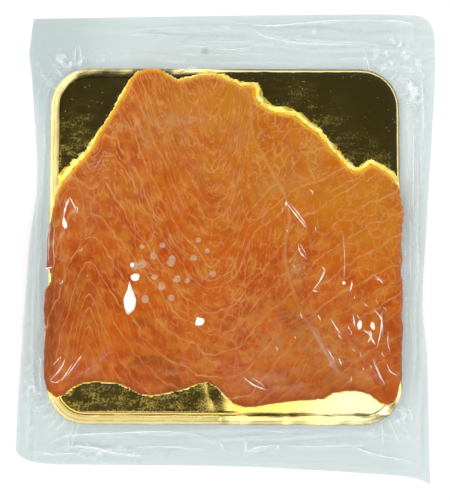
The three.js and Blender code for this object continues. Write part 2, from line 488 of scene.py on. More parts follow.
class Desk:
    """Lays out the nodes of one node tree."""

    def __init__(self, tree: bpy.types.NodeTree) -> None:
        """Works on the given tree."""
        self.tree = tree

    def node(self, kind: str, inputs: dict[Any, Any] | None = None, **settings: Any) -> bpy.types.Node:
        """Adds a node.

        Args:
            kind: the node's type, without ShaderNode.
            inputs: values or sockets for its inputs.
            settings: its own properties.

        Returns:
            The new node.
        """
        made = self.tree.nodes.new("ShaderNode" + kind)
        made.location = (len(self.tree.nodes) % 9 * 190, -(len(self.tree.nodes) // 9) * 260)
        for name, value in settings.items():
            setattr(made, name, value)
        for name, value in (inputs or {}).items():
            self.feed(made.inputs[name], value)
        return made

    def feed(self, socket: Socket, value: Any) -> None:
        """Links a socket to another, or sets its value."""
        if isinstance(value, Socket):
            self.tree.links.new(value, socket)
        elif isinstance(value, tuple) and len(value) == 3 and socket.type == "RGBA":
            socket.default_value = (*value, 1.0)
        else:
            socket.default_value = value

    def math(self, operation: str, *values: Any, clamp: bool = False) -> Socket:
        """A Math node's result."""
        inputs = dict(enumerate(values))
        return self.node("Math", inputs, operation=operation, use_clamp=clamp).outputs[0]

    def times(self, first: Any, second: Any, clamp: bool = False) -> Socket:
        """The product of two values."""
        return self.math("MULTIPLY", first, second, clamp=clamp)

    def plus(self, first: Any, second: Any, clamp: bool = False) -> Socket:
        """The sum of two values."""
        return self.math("ADD", first, second, clamp=clamp)

    def less(self, first: Any, second: Any) -> Socket:
        """The first value less the second."""
        return self.math("SUBTRACT", first, second)

    def parted(self, first: Any, second: Any) -> Socket:
        """The first value divided by the second."""
        return self.math("DIVIDE", first, second)

    def most(self, first: Any, second: Any, clamp: bool = False) -> Socket:
        """The larger of two values."""
        return self.math("MAXIMUM", first, second, clamp=clamp)

    def least(self, first: Any, second: Any) -> Socket:
        """The smaller of two values."""
        return self.math("MINIMUM", first, second)

    def span(self, value: Any, low: Any, high: Any, to_low: float = 0.0, to_high: float = 1.0) -> Socket:
        """A smooth step of a value, from to_low at low to to_high at high."""
        inputs = {0: value, 1: low, 2: high, 3: to_low, 4: to_high}
        return self.node("MapRange", inputs, interpolation_type="SMOOTHSTEP").outputs[0]

    def mix(self, share: Any, low: Any, high: Any) -> Socket:
        """A mix of two colours."""
        made = self.node("Mix", None, data_type="RGBA")
        for at, value in ((0, share), (6, low), (7, high)):
            self.feed(made.inputs[at], value)
        return made.outputs[2]

    def attribute(self, name: str, vector: bool = False) -> Socket:
        """An attribute of the mesh, as a value or as a vector."""
        return self.node("Attribute", attribute_name=name).outputs["Vector" if vector else "Fac"]

    def place(self) -> Socket:
        """The place on the piece, in metres."""
        return self.node("TexCoord").outputs["Object"]

    def noise(self, vector: Any, scale: Any, detail: float = 3.0, rough: float = 0.55) -> Socket:
        """A noise value at a place."""
        inputs = {"Vector": vector, "Scale": scale, "Detail": detail, "Roughness": rough}
        return self.node("TexNoise", inputs).outputs[0]

    def sway(self, vector: Any, scale: float, detail: float, rough: float, size: float) -> Socket:
        """A noise value around 0, of the given size from its lowest to its highest."""
        return self.times(self.less(self.noise(vector, scale, detail, rough), 0.5), size)

    def group(self, tree: bpy.types.NodeTree, **inputs: Any) -> Socket:
        """Places a shared group with this material's own values and gives its first output."""
        made = self.node("Group", None, node_tree=tree)
        for name, value in inputs.items():
            self.feed(made.inputs[name], value)
        return made.outputs[0]

    def bump(self, strength: float, distance: float, height: Any, **more: Any) -> Socket:
        """A normal that is bumped by a height."""
        inputs = {"Strength": strength, "Distance": distance, "Height": height}
        return self.node("Bump", {**inputs, **more}).outputs[0]

    def principled(self, inputs: dict[str, Any]) -> Socket:
        """A Principled shader with the given inputs."""
        return self.node("BsdfPrincipled", inputs).outputs[0]

    def blend(self, share: Any, low: Any, high: Any) -> Socket:
        """A mix of two shaders."""
        return self.node("MixShader", {0: share, 1: low, 2: high}).outputs[0]


def new_group(name: str, inputs: dict[str, tuple[str, Any]], output: str) -> bpy.types.NodeTree:
    """Starts a shader node group that gives one value.

    Args:
        name: the group's name.
        inputs: each input's socket type and value.
        output: the name of its output.

    Returns:
        The group with its input and output nodes.
    """
    tree = bpy.data.node_groups.new(name, "ShaderNodeTree")
    for label, (kind, value) in inputs.items():
        socket = tree.interface.new_socket(label, in_out="INPUT", socket_type="NodeSocket" + kind)
        if value is not None:
            socket.default_value = value
    tree.interface.new_socket(output, in_out="OUTPUT", socket_type="NodeSocketFloat")
    tree.nodes.new("NodeGroupInput")
    tree.nodes.new("NodeGroupOutput")
    return tree


def cloud_group() -> bpy.types.NodeTree:
    """Soft uneven patches, from 0 to 1, with a finer ripple in them."""
    inputs = {"Vector": ("Vector", None), "Scale": ("Float", 40.0)}
    levels = {"Low": ("Float", 0.35), "High": ("Float", 0.65)}
    tree = new_group("Soft patches", {**inputs, **levels}, "Value")
    desk = Desk(tree)
    given, wanted = tree.nodes["Group Input"], tree.nodes["Group Output"]
    raw = desk.noise(given.outputs["Vector"], given.outputs["Scale"])
    desk.feed(wanted.inputs["Value"], desk.span(raw, given.outputs["Low"], given.outputs["High"]))
    return tree


def speck_group() -> bpy.types.NodeTree:
    """Small scattered specks, from 0 to 1, each with a soft edge."""
    inputs = {"Vector": ("Vector", None), "Scale": ("Float", 900.0)}
    amounts = {"Size": ("Float", 0.2), "Share": ("Float", 0.3)}
    tree = new_group("Specks", {**inputs, **amounts}, "Mask")
    desk = Desk(tree)
    given, wanted = tree.nodes["Group Input"], tree.nodes["Group Output"]
    small = given.outputs["Size"]
    cells = desk.node("TexVoronoi", {"Vector": given.outputs["Vector"], "Scale": given.outputs["Scale"]})
    dice = desk.node("SeparateColor", {0: cells.outputs["Color"]}).outputs[0]
    lone = desk.math("LESS_THAN", dice, given.outputs["Share"])
    reach = {0: cells.outputs["Distance"], 1: small, 2: desk.times(small, 1.6), 3: 1.0, 4: 0.0}
    dot = desk.node("MapRange", reach)
    desk.feed(wanted.inputs["Mask"], desk.times(dot.outputs[0], lone, clamp=True))
    return tree


CLOUD = cloud_group()
SPECKS = speck_group()


def new_material(name: str) -> tuple[bpy.types.Material, Desk, bpy.types.Node]:
    """An empty material, the desk for its nodes and its output node."""
    material = bpy.data.materials.new(name)
    material.use_nodes = True
    material.node_tree.nodes.clear()
    desk = Desk(material.node_tree)
    return material, desk, desk.node("OutputMaterial")


@dataclass(frozen=True)
class FilmFinish:
    """Clear glossy film, cool and slightly grey, whitish where highlights are painted on its creases, partly
    stress-whitening, and greyer where shade is painted beside folds, partly denser film.
    """

    name: str = "clear film"
    tint: Colour = (0.93, 0.956, 0.954)
    # greyer tint of painted shade beside folds and in the back left corner, partly denser film
    dense_shade_tint: Colour = (0.7, 0.75, 0.74)
    haze: Colour = (0.86, 0.9, 0.9)
    roughness: float = 0.045
    least_haze: float = 0.0015
    gloss: float = 0.5
    most_gloss: float = 0.021

    def material(self) -> bpy.types.Material:
        """Builds the material, which reads the attributes pale, dense and matt."""
        made, desk, output = new_material(self.name)
        made.surface_render_method = "BLENDED"
        place = desk.place()
        pale, dense_shade = desk.attribute("pale"), desk.attribute("dense_shade")
        patches = desk.group(CLOUD, Vector=place, Scale=90.0, Low=0.3, High=0.7)
        # painted shade: the greyer tint where the film is marked as shaded, partly denser film
        tint = desk.mix(dense_shade, self.tint, self.dense_shade_tint)
        clear = desk.node("BsdfTransparent", {"Color": tint}).outputs[0]
        uneven = desk.times(patches, self.least_haze)
        # painted highlight: white haze on crease crests, crinkles and streaks, partly stress-whitened film
        haze = desk.plus(uneven, pale, clamp=True)
        cloudy = desk.principled({"Base Color": self.haze, "Roughness": 0.4})
        fine = desk.noise(place, 420.0, 2.0)
        bump = desk.bump(0.12, 0.0002, fine)
        mirror = {"Color": (1.0, 1.0, 1.0), "Roughness": self.roughness, "Normal": bump}
        shine = desk.node("BsdfGlossy", mirror).outputs[0]
        edge = desk.node("Fresnel", {"IOR": 1.5, "Normal": bump}).outputs[0]
        path = desk.node("LightPath").outputs
        lit = desk.most(path["Is Shadow Ray"], path["Is Diffuse Ray"])
        seen = desk.less(1.0, lit)
        held = desk.least(desk.times(edge, self.gloss), self.most_gloss)
        calmed = desk.times(held, desk.less(1.0, desk.attribute("matt")))
        both_sides = desk.times(calmed, seen)
        body = desk.blend(haze, clear, cloudy)
        desk.feed(output.inputs["Surface"], desk.blend(both_sides, body, shine))
        return made


@dataclass(frozen=True)
class GlintFinish:
    """Painted highlights on the film: white glints on sharp crease crests and small patches, partly film
    turned white where it is creased; over the fish they are warmer and brightened by emission.
    """

    name: str = "painted film glints"
    # colours of the painted glints: white over the margins and warm over the fish
    white: Colour = (1.0, 1.0, 0.98)
    warm: Colour = (1.0, 0.96, 0.79)
    tint: Colour = (0.97, 0.98, 0.98)
    lift: float = 0.28

    def material(self) -> bpy.types.Material:
        """Builds the material, which reads the attributes pale and over (1 over the fish)."""
        made, desk, output = new_material(self.name)
        made.surface_render_method = "BLENDED"
        patches = desk.group(CLOUD, Vector=desk.place(), Scale=500.0, Low=0.3, High=0.6)
        uneven = desk.span(patches, 0.0, 1.0, 0.75, 1.0)
        share = desk.times(desk.attribute("pale"), uneven, clamp=True)
        clear = desk.node("BsdfTransparent", {"Color": self.tint}).outputs[0]
        over = desk.attribute("over")
        colour = desk.mix(over, self.white, self.warm)
        # painted light: a little emission that brightens the glints over the fish
        painted_emission = desk.times(over, self.lift)
        white = desk.principled(
            {"Base Color": colour, "Roughness": 0.12, "Emission Color": colour, "Emission Strength": painted_emission}
        )
        desk.feed(output.inputs["Surface"], desk.blend(share, clear, white))
        return made


@dataclass(frozen=True)
class GoldFinish:
    """Mirror-like gold foil with a fine grain and small bright specks, painted shade in thin lines along the
    rim and at its cut edge, and a painted highlight that pales the rim and the tipped front right corner.
    """

    name: str = "gold foil"
    colour: Colour = (0.93, 0.64, 0.13)
    worn: Colour = (0.88, 0.63, 0.14)
    # paler gold for a painted highlight on the tipped front right corner and the rim
    glare_colour: Colour = (1.0, 0.86, 0.5)
    # dark colour of the painted shade lines along the rim
    bend: Colour = (0.1, 0.07, 0.015)
    roughness: float = 0.1
    grain: float = 0.35
    bend_inside: float = 4.9

    def material(self) -> bpy.types.Material:
        """Builds the material, which reads the attributes worn, bleach, inside, ridge and lined."""
        made, desk, output = new_material(self.name)
        place = desk.place()
        worn, glare, inside = desk.attribute("worn"), desk.attribute("glare"), desk.attribute("inside")
        patches = desk.group(CLOUD, Vector=place, Scale=60.0, Low=0.35, High=0.7)
        specks = desk.group(SPECKS, Vector=place, Scale=900.0, Size=0.12, Share=0.12)
        specks = desk.times(specks, desk.less(1.0, glare))
        stretched = desk.node("Mapping", {"Vector": place, "Scale": (1.0, 2.6, 1.0)}).outputs[0]
        coarse = desk.span(desk.noise(stretched, 110.0, 4.0, 0.65), 0.36, 0.66, 0.3, 1.6)
        dull = desk.span(desk.noise(place, 1000.0, 3.0, 0.6), 0.36, 0.68, 0.04, 0.22)
        dull = desk.times(dull, coarse)
        on_rim = desk.span(inside, 3.2, 5.2, 1.0, 0.0)
        dulled = desk.times(desk.times(dull, worn), desk.less(1.0, on_rim))
        colour = desk.mix(patches, self.colour, self.worn)
        # painted highlight: paler gold on the tipped front right corner, and half as much on the rim
        colour = desk.mix(desk.most(glare, desk.times(on_rim, 0.5)), colour, self.glare_colour)
        # painted shade: dark lines along the rim and a darker cut edge
        colour = desk.mix(self.rim_shade_lines(desk, place, inside), colour, self.bend)
        rough = desk.plus(desk.plus(desk.times(patches, 0.05), dulled), self.roughness)
        spotty = desk.plus(rough, desk.times(specks, 0.3), clamp=True)
        grain = desk.noise(place, 1500.0, 3.0, 0.6)
        waves = desk.noise(place, 130.0, 2.0, 0.5)
        height = desk.plus(desk.times(waves, 0.9), desk.times(grain, self.grain))
        raised = desk.plus(height, desk.times(specks, 0.5))
        bump = desk.bump(0.3, 0.0003, raised)
        off = desk.math("ABSOLUTE", desk.less(inside, self.bend_inside + 1.2))
        ridge = desk.times(desk.span(off, 0.0, 0.9, 0.3, 0.0), desk.attribute("ridge"))
        ridged = desk.bump(1.0, 0.001, ridge, Normal=bump)
        foil = {"Base Color": colour, "Metallic": 1.0, "Roughness": spotty, "Normal": ridged}
        desk.feed(output.inputs["Surface"], desk.principled(foil))
        return made

    def rim_shade_lines(self, desk: Desk, place: Any, inside: Any) -> Socket:
        """Painted shade: thin dark lines that follow the rim, one where it bends down and fainter ones beside
        it, and a darker band at the cut edge.

        Args:
            desk: the material's desk.
            place: the place on the card in metres.
            inside: the distance from the card's outline in millimetres.

        Returns:
            1 on a line and 0 away from it.
        """
        drift = desk.sway(place, 45.0, 2.0, 0.5, 1.6)
        across = desk.plus(inside, drift)
        broken = desk.span(desk.noise(place, 110.0, 3.0, 0.6), 0.36, 0.5, 0.25, 1.0)
        found = None
        lines = (self.bend_inside, 0.42, 0.9), (self.bend_inside - 1.1, 0.2, 0.35), (1.9, 0.35, 0.45)
        for at, half, strength in lines:
            gap = desk.math("ABSOLUTE", desk.less(across, at))
            line = desk.times(desk.span(gap, half * 0.3, half, strength, 0.0), broken)
            found = line if found is None else desk.most(found, line)
        shade_lines = desk.attribute("shade_lines")
        # painted shade near the cut edge at the back right, where no lines are painted
        shaded = desk.times(desk.less(1.0, shade_lines), desk.span(inside, 0.7, 2.2, 0.72, 0.0))
        edge = desk.most(desk.span(inside, 0.0, 0.9, 0.5, 0.0), shaded)
        marked = desk.times(found, shade_lines)
        return desk.most(marked, edge, clamp=True)


@dataclass(frozen=True)
class BoardFinish:
    """The card's pale uncoated back and cut edge, with short fibres."""

    name: str = "pale board"
    light: Colour = (0.74, 0.7, 0.62)
    dark: Colour = (0.6, 0.55, 0.46)

    def material(self) -> bpy.types.Material:
        """Builds the material."""
        made, desk, output = new_material(self.name)
        place = desk.place()
        stretched = desk.node("Mapping", {"Vector": place, "Scale": (1.0, 4.0, 1.0)}).outputs[0]
        fibres = desk.noise(stretched, 900.0, 4.0, 0.65)
        specks = desk.group(SPECKS, Vector=place, Scale=450.0, Size=0.15, Share=0.1)
        colour = desk.mix(desk.span(fibres, 0.35, 0.7), self.light, self.dark)
        spotted = desk.mix(desk.times(specks, 0.6), colour, (0.45, 0.38, 0.28))
        bump = desk.bump(0.4, 0.0001, fibres)
        shader = desk.principled({"Base Color": spotted, "Roughness": 0.85, "Normal": bump})
        desk.feed(output.inputs["Surface"], shader)
        return made


@dataclass(frozen=True)
class FleshFinish:
    """Moist orange salmon with pale veins, a fine net of fat and darker red edges, partly the flesh's own
    colour and mostly painted shade.

    The mesh carries the attributes flow (across and along the muscle), deep (darker red, mostly painted shade
    at the edges), veil and warm (other tones), lines, net and seam (how much of each vein shows), and the
    share of the painted gold reflection along the back edge.
    """

    name: str = "smoked salmon"
    meat: Colour = (0.61, 0.104, 0.002)
    meat_dark: Colour = (0.5, 0.06, 0.001)
    # darker red: mostly painted shade at the fish's front and side edges, partly its own darker flesh
    deep: Colour = (0.34, 0.056, 0.002)
    vein: Colour = (0.79, 0.38, 0.13)
    soft: Colour = (0.65, 0.175, 0.012)
    warm: Colour = (0.64, 0.22, 0.008)
    veil: Colour = (0.57, 0.24, 0.075)
    # painted reflection of the gold along the fish's back edge
    gold_reflection: Colour = (1.0, 0.5, 0.008)
    fine_share: float = 0.32

    def material(self) -> bpy.types.Material:
        """Builds the material."""
        made, desk, output = new_material(self.name)
        place = desk.place()
        flow = desk.attribute("flow", vector=True)
        net_share = desk.attribute("net")
        split = desk.node("SeparateXYZ", {0: flow})
        across, along = split.outputs[0], split.outputs[1]
        wander = desk.sway(place, 38.0, 3.0, 0.55, 13.0)
        middle = desk.sway(place, 95.0, 2.0, 0.55, 4.0)
        jitter = desk.sway(place, 190.0, 2.0, 0.5, 1.2)
        bent = desk.plus(desk.plus(desk.plus(across, wander), middle), jitter)

        main = self.lines(desk, bent, 10.0, 0.004, 0.08)
        main_gate = desk.span(desk.noise(place, 130.0, 3.0, 0.65), 0.36, 0.6, 0.3, 1.0)
        fine = self.lines(desk, desk.plus(bent, 37.0), 4.6, 0.0, 0.14)
        fine_gate = desk.span(desk.noise(place, 110.0, 3.0, 0.65), 0.53, 0.66)
        net = desk.most(self.net(desk, bent, along, place, 1.7), self.net(desk, bent, along, place, 0.9))
        flecks = self.flecks(desk, bent, along)

        veins = desk.times(desk.times(main, main_gate), desk.attribute("lines"))
        lesser = desk.times(desk.times(fine, fine_gate), self.fine_share)
        netted = desk.times(desk.most(net, flecks), net_share)
        pale = desk.most(desk.most(veins, lesser), netted, clamp=True)
        pale = desk.most(pale, desk.attribute("seam"), clamp=True)

        mottle = desk.group(CLOUD, Vector=place, Scale=75.0, Low=0.38, High=0.64)
        colour = desk.mix(mottle, self.meat, self.meat_dark)
        dabs = desk.noise(place, 140.0, 2.5, 0.55)
        colour = desk.mix(desk.span(dabs, 0.4, 0.68, 0.0, 0.9), colour, self.soft)
        colour = desk.mix(desk.attribute("warm"), colour, self.warm)
        broken = desk.span(desk.noise(place, 330.0, 2.5, 0.6), 0.42, 0.58, 0.35, 1.3)
        veiled = desk.times(desk.attribute("veil"), broken, clamp=True)
        colour = desk.mix(veiled, colour, self.veil)
        # painted shade: darker red at the edges and in streaks
        colour = desk.mix(desk.attribute("deep"), colour, self.deep)
        colour = desk.mix(desk.times(pale, 0.62), colour, self.vein)
        # painted reflection: the back edge turned gold-yellow
        colour = desk.mix(desk.attribute("gold_reflection"), colour, self.gold_reflection)

        grain = desk.noise(flow, 0.9, 3.0, 0.6)
        height = desk.plus(desk.times(pale, 0.5), desk.times(grain, 0.35))
        bump = desk.bump(0.25, 0.0004, height)
        rough = desk.span(grain, 0.3, 0.7, 0.34, 0.5)
        under = {"Subsurface Weight": 0.12, "Subsurface Radius": (1.0, 0.3, 0.08), "Subsurface Scale": 0.0014}
        surface = {"Base Color": colour, "Roughness": rough, "Specular IOR Level": 0.2, "Normal": bump}
        desk.feed(output.inputs["Surface"], desk.principled({**surface, **under}))
        return made

    @staticmethod
    def lines(desk: Desk, across: Any, pitch: float, core: float, fade: float) -> Socket:
        """Thin lines at uneven steps across the muscle.

        Args:
            desk: the material's desk.
            across: the place across the muscle in millimetres.
            pitch: the mean step in millimetres.
            core: half the line's full width, as a share of the pitch.
            fade: where the line ends, as a share of the pitch.

        Returns:
            1 on a line and 0 away from it.
        """
        scaled = desk.parted(across, pitch)
        kind = {"voronoi_dimensions": "1D", "feature": "DISTANCE_TO_EDGE"}
        cells = desk.node("TexVoronoi", {"W": scaled, "Scale": 1.0}, **kind)
        return desk.span(cells.outputs["Distance"], core, fade, 1.0, 0.0)

    @staticmethod
    def net(desk: Desk, across: Any, along: Any, place: Any, size: float) -> Socket:
        """A broken net of thin lines that runs along the muscle.

        Args:
            desk: the material's desk.
            across: the place across the muscle in millimetres.
            along: the place along the muscle in millimetres.
            place: the place on the piece in metres.
            size: how large its meshes are, against the widest net.

        Returns:
            1 on a line and 0 away from it.
        """
        meshes = {0: desk.parted(across, 5.0 * size), 1: desk.parted(along, 7.5 * size), 2: 0.0}
        shaped = desk.node("CombineXYZ", meshes).outputs[0]
        shake = desk.node("TexNoise", {"Vector": place, "Scale": 260.0, "Detail": 2.0}).outputs["Color"]
        moved = desk.node("VectorMath", {0: shake, 1: (0.45, 0.45, 0.0)}, operation="MULTIPLY").outputs[0]
        summed = desk.node("VectorMath", {0: shaped, 1: moved}, operation="ADD").outputs[0]
        kind = {"voronoi_dimensions": "2D", "feature": "DISTANCE_TO_EDGE"}
        cells = desk.node("TexVoronoi", {"Vector": summed, "Scale": 1.0}, **kind)
        thin = desk.span(cells.outputs["Distance"], 0.0, 0.14 / size, 1.0, 0.0)
        gate = desk.span(desk.noise(place, 170.0 / size, 2.0, 0.6), 0.44, 0.6)
        return desk.times(desk.times(thin, gate), 0.9)

    @staticmethod
    def flecks(desk: Desk, across: Any, along: Any) -> Socket:
        """Short pale strokes of fat along the muscle."""
        strokes = {0: desk.times(across, 0.95), 1: desk.times(along, 0.4), 2: 3.0}
        shaped = desk.node("CombineXYZ", strokes).outputs[0]
        raw = desk.noise(shaped, 1.0, 2.0, 0.5)
        return desk.span(raw, 0.61, 0.69, 0.0, 0.7)


@dataclass(frozen=True)
class WetGoldFinish:
    """Brine drawn up in the corner between fish and foil, which shows the gold through it; its bright yellow
    colour is a painted reflection of the gold.
    """

    name: str = "brine over gold"
    # bright yellows that paint the gold's reflection through the brine
    colour: Colour = (1.0, 0.68, 0.07)
    pale: Colour = (1.0, 0.9, 0.42)
    roughness: float = 0.26

    def material(self) -> bpy.types.Material:
        """Builds the material."""
        made, desk, output = new_material(self.name)
        place = desk.place()
        patches = desk.group(CLOUD, Vector=place, Scale=260.0, Low=0.4, High=0.75)
        colour = desk.mix(patches, self.colour, self.pale)
        waves = desk.noise(place, 220.0, 2.0, 0.5)
        bump = desk.bump(0.12, 0.0005, waves)
        rough = desk.span(patches, 0.0, 1.0, self.roughness, self.roughness + 0.12)
        shader = desk.principled({"Base Color": colour, "Metallic": 0.4, "Roughness": rough, "Normal": bump})
        desk.feed(output.inputs["Surface"], shader)
        return made


@dataclass(frozen=True)
class AirFinish:
    """Small flat pockets of air and fat under the film."""

    name: str = "air under film"
    colour: Colour = (0.95, 0.6, 0.36)
    solid: float = 0.55

    def material(self) -> bpy.types.Material:
        """Builds the material, which reads the attribute pale."""
        made, desk, output = new_material(self.name)
        made.surface_render_method = "BLENDED"
        patches = desk.group(CLOUD, Vector=desk.place(), Scale=400.0, Low=0.3, High=0.7)
        uneven = desk.span(patches, 0.0, 1.0, self.solid * 0.7, self.solid)
        solid = desk.times(uneven, desk.attribute("pale"), clamp=True)
        shader = desk.principled({"Base Color": self.colour, "Roughness": 0.5, "Alpha": solid})
        desk.feed(output.inputs["Surface"], shader)
        return made


# The fish
# --------


class Zone(Enum):
    """What a soft oval spot on the fish does to its colour; the value is the attribute's name."""

    VEIL = "veil"
    WARM = "warm"
    # darker red spots, mostly painted shade along the edges
    DEEP = "deep"


@dataclass(frozen=True)
class SliceShape:
    """One slice: its node and how it is dressed."""

    node: str
    shift: float = 0.0
    # how much of the painted gold reflection the slice's back edge gets
    gold_reflection: float = 0.0
    border: float = 0.0


@dataclass(frozen=True)
class SliceFacts:
    """What is measured of one slice's node on the lattice, in millimetres."""

    depth: Field
    near_x: Field
    near_y: Field
    wave: Field
    top: Field
    low: Field


@dataclass
class Fish:
    """Three overlapping slices with muscle relief, in the shapes of their nodes."""

    lattice: Lattice
    finish: FleshFinish = field(default_factory=FleshFinish)
    slices: tuple[SliceShape, ...] = (
        SliceShape("salmon_back", shift=11.0, gold_reflection=1.0),
        SliceShape("salmon_right", shift=-4.0),
        SliceShape("salmon_left", gold_reflection=0.75, border=1.0),
    )
    arch_x: tuple[float, ...] = (-97, -88, -80, -73, -68, -62, -52, -40, -25, -8, 6, 20, 40, 65, 95)
    arch_y: tuple[float, ...] = (-76, -40, -9, 5, 8, 3, -12, -31, -50, -62, -56, -38, -15, 2, 18)
    relief: float = 0.12
    ragged: float = 0.35
    round_over: float = 3.0
    border_step: float = 0.09
    gap: float = 0.1
    press: int = 140
    lip: float = 0.35
    fold_pitch: float = 8.0
    least_thick: float = 0.18
    bare_spot: Pair = (-91.5, -17.5)
    bare_reach: float = 3.2
    spots: dict[Zone, tuple[Oval, ...]] = field(default_factory=lambda: {
        Zone.WARM: (
            (30, 42, 55, 34, 0.6), (-22, 74, 40, 16, 0.35), (76, 14, 24, 26, 0.55), (3, 77, 14, 9, 0.5),
        ),
        Zone.VEIL: (
            (24, -46, 40, 24, 0.3), (55, -58, 24, 18, 0.5), (37, -14, 5, 7, 0.95), (25, 29, 9, 3.5, 0.7),
            (36, 33, 5, 3, 0.6), (-33, 62, 6, 3, 0.6), (-22, 63, 8, 2.5, 0.55), (-41, 55, 3.5, 7, 0.5),
            (6, 57, 4, 9, 0.35), (-28, 62, 22, 14, 0.25), (-66, 30, 14, 22, 0.25),
        ),
        # darker spots, mostly painted shade along the fish's front and side edges
        Zone.DEEP: (
            (-90, 0, 6, 60, 0.7), (-90, -50, 7, 22, 0.75), (91, -20, 4, 45, 0.35), (0, -84, 70, 6, 0.45),
            (-72, -30, 10, 34, 0.3), (-30, -64, 13, 9, 0.4), (-42, -40, 5, 2.4, 0.7),
            (-84, -30, 9, 12, 0.3), (38, -71, 48, 9, 0.34), (-27, 79, 7, 5, 0.2),
        ),
    })
    tops: Field = field(init=False)
    ceiling: Field = field(init=False)
    whole: Field = field(init=False)
    cover: Field = field(init=False)
    outlines: dict[str, Outline] = field(init=False, default_factory=dict)
    measured: dict[str, SliceFacts] = field(init=False, default_factory=dict)

    def arch(self, x: Field, y: Field) -> Field:
        """How high the muscle's W-shaped folds stand at each x, steeper to the back."""
        mean = sum(np.interp(x + step, self.arch_x, self.arch_y) for step in (-5.0, -2.5, 0.0, 2.5, 5.0)) / 5
        return mean * (0.9 + 0.2 * ease(-80.0, 80.0, y))

    def flow(self, x: Field, y: Field, shift: float) -> tuple[Field, Field]:
        """The place across and along the muscle, in millimetres."""
        steep = (self.arch(x + 1.0, y) - self.arch(x - 1.0, y)) / 2
        across = (y - self.arch(x, y)) / np.sqrt(1 + 0.55 * steep * steep)
        return across + shift, x * 1.5 + y * 0.2

    def spotted(self, zone: Zone, x: Field, y: Field) -> Field:
        """How strong a zone's spots, given by middle, half sizes and strength, are at some places."""
        return sum(
            strength * np.exp(-(((x - at_x) / wide) ** 2) - ((y - at_y) / deep) ** 2)
            for at_x, at_y, wide, deep, strength in self.spots[zone]
        )

    def build(self) -> None:
        """Builds and dresses all slices, the uppermost first."""
        material = self.finish.material()
        self.measure()
        for shape in reversed(self.slices):
            self.build_slice(shape, material)

    def measure(self) -> None:
        """Measures the slices' nodes and works out the one smooth surface they are pressed into."""
        grid = self.lattice
        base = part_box("gold_card")[1].z / MM
        self.ceiling = np.full(grid.x.shape, math.nan)
        self.whole = np.full(grid.x.shape, OUTSIDE)
        for shape in self.slices:
            node = CadNode(shape.node)
            outline = Outline(node.outline())
            inside, near_x, near_y = outline.nearest(grid.x, grid.y)
            wave = ripple(grid.x, grid.y, 3.1, 5) + 0.6 * ripple(grid.x, grid.y, 1.6, 6)
            depth = inside + self.ragged * wave * ease(6.0, 0.0, np.abs(inside))
            top = grid.heights(node, inside > 0.05, True)
            low = soften(grid.heights(node, inside > 0.05, False), 3)
            self.outlines[shape.node] = outline
            self.measured[shape.node] = SliceFacts(depth, near_x, near_y, wave, top, low)
            self.ceiling = np.fmax(self.ceiling, top)
            self.whole = np.maximum(self.whole, depth)
        share = np.clip(self.whole / self.round_over, 0.0, 1.0)
        rounded = np.sqrt(np.clip(1 - (1 - share) ** 2, 0.0, 1.0))
        pressed = soften(self.ceiling, self.press)
        bumps = 0.14 * ripple(grid.x, grid.y, 6.0, 3) + 0.1 * ripple(grid.x, grid.y, 2.6, 4)
        raised = base + self.lip + (pressed - base - self.lip) * (0.1 + 0.9 * rounded)
        self.tops = np.where(self.whole > -grid.pitch, raised + bumps * ease(0.0, 5.0, self.whole), -1.0)
        self.ceiling = self.tops.copy()
        self.cover = np.full(grid.x.shape, OUTSIDE)

    def build_slice(self, shape: SliceShape, material: bpy.types.Material) -> None:
        """Builds one slice as a sheet on the lattice that is given its thickness.

        Args:
            shape: the slice.
            material: the fish's material.
        """
        grid = self.lattice
        facts = self.measured[shape.node]
        depth = facts.depth
        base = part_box("gold_card")[1].z / MM
        bare = np.hypot(grid.x - self.bare_spot[0], (grid.y - self.bare_spot[1]) * 0.6) < self.bare_reach
        keep = (depth > -grid.pitch * 0.5) & ~bare
        across, _ = self.flow(grid.x, grid.y, shape.shift)
        folds = np.cos(across * 2 * math.pi / self.fold_pitch + 1.5 * ripple(grid.x, grid.y, 14.0, 9))
        covered = self.ceiling < self.tops - 0.01
        inner = ease(1.0, 4.0, self.whole - depth)
        border = self.border_step * ease(9.0, 0.0, depth) * inner
        beside = ease(0.0, 3.0, np.abs(self.cover)) * (1 - inner * ease(3.0, 0.0, depth))
        shown = self.tops + self.relief * folds * ease(0.0, 5.0, self.whole) * beside + border
        under = self.ceiling - self.gap
        flush = (self.tops - 0.05 - under) * ease(3.0, 1.2, self.cover)
        sunk = (np.fmin(soften(facts.top, 5), under) - under) * ease(3.0, 10.0, self.cover)
        upper = np.where(covered, under + flush + sunk, shown)
        least = 0.3 + 1.6 * ease(0.0, 12.0, depth)
        low = np.fmax(np.fmin(facts.low, upper - least), base + 0.1)
        upper = np.fmax(upper, low + self.least_thick)
        self.ceiling = np.where(keep, low, self.ceiling)
        self.cover = np.maximum(self.cover, depth)

        piece = self.sheet(shape.node + "_slice", keep)
        row, column = self.nodes_of(piece)
        x, y = grid.x[row, column], grid.y[row, column]
        rim = np.abs(depth[row, column]) < grid.pitch * 0.5
        pull = 0.4 * self.ragged * facts.wave[row, column]
        x = np.where(rim, facts.near_x[row, column] + pull, x)
        y = np.where(rim, facts.near_y[row, column] + pull, y)
        settle(piece, x, y, low[row, column])
        self.thicken(piece, upper)
        self.dress(piece, shape, depth, material)
        shade_smooth(piece, 70.0)
        finish_piece(piece, "salmon", shape.node)

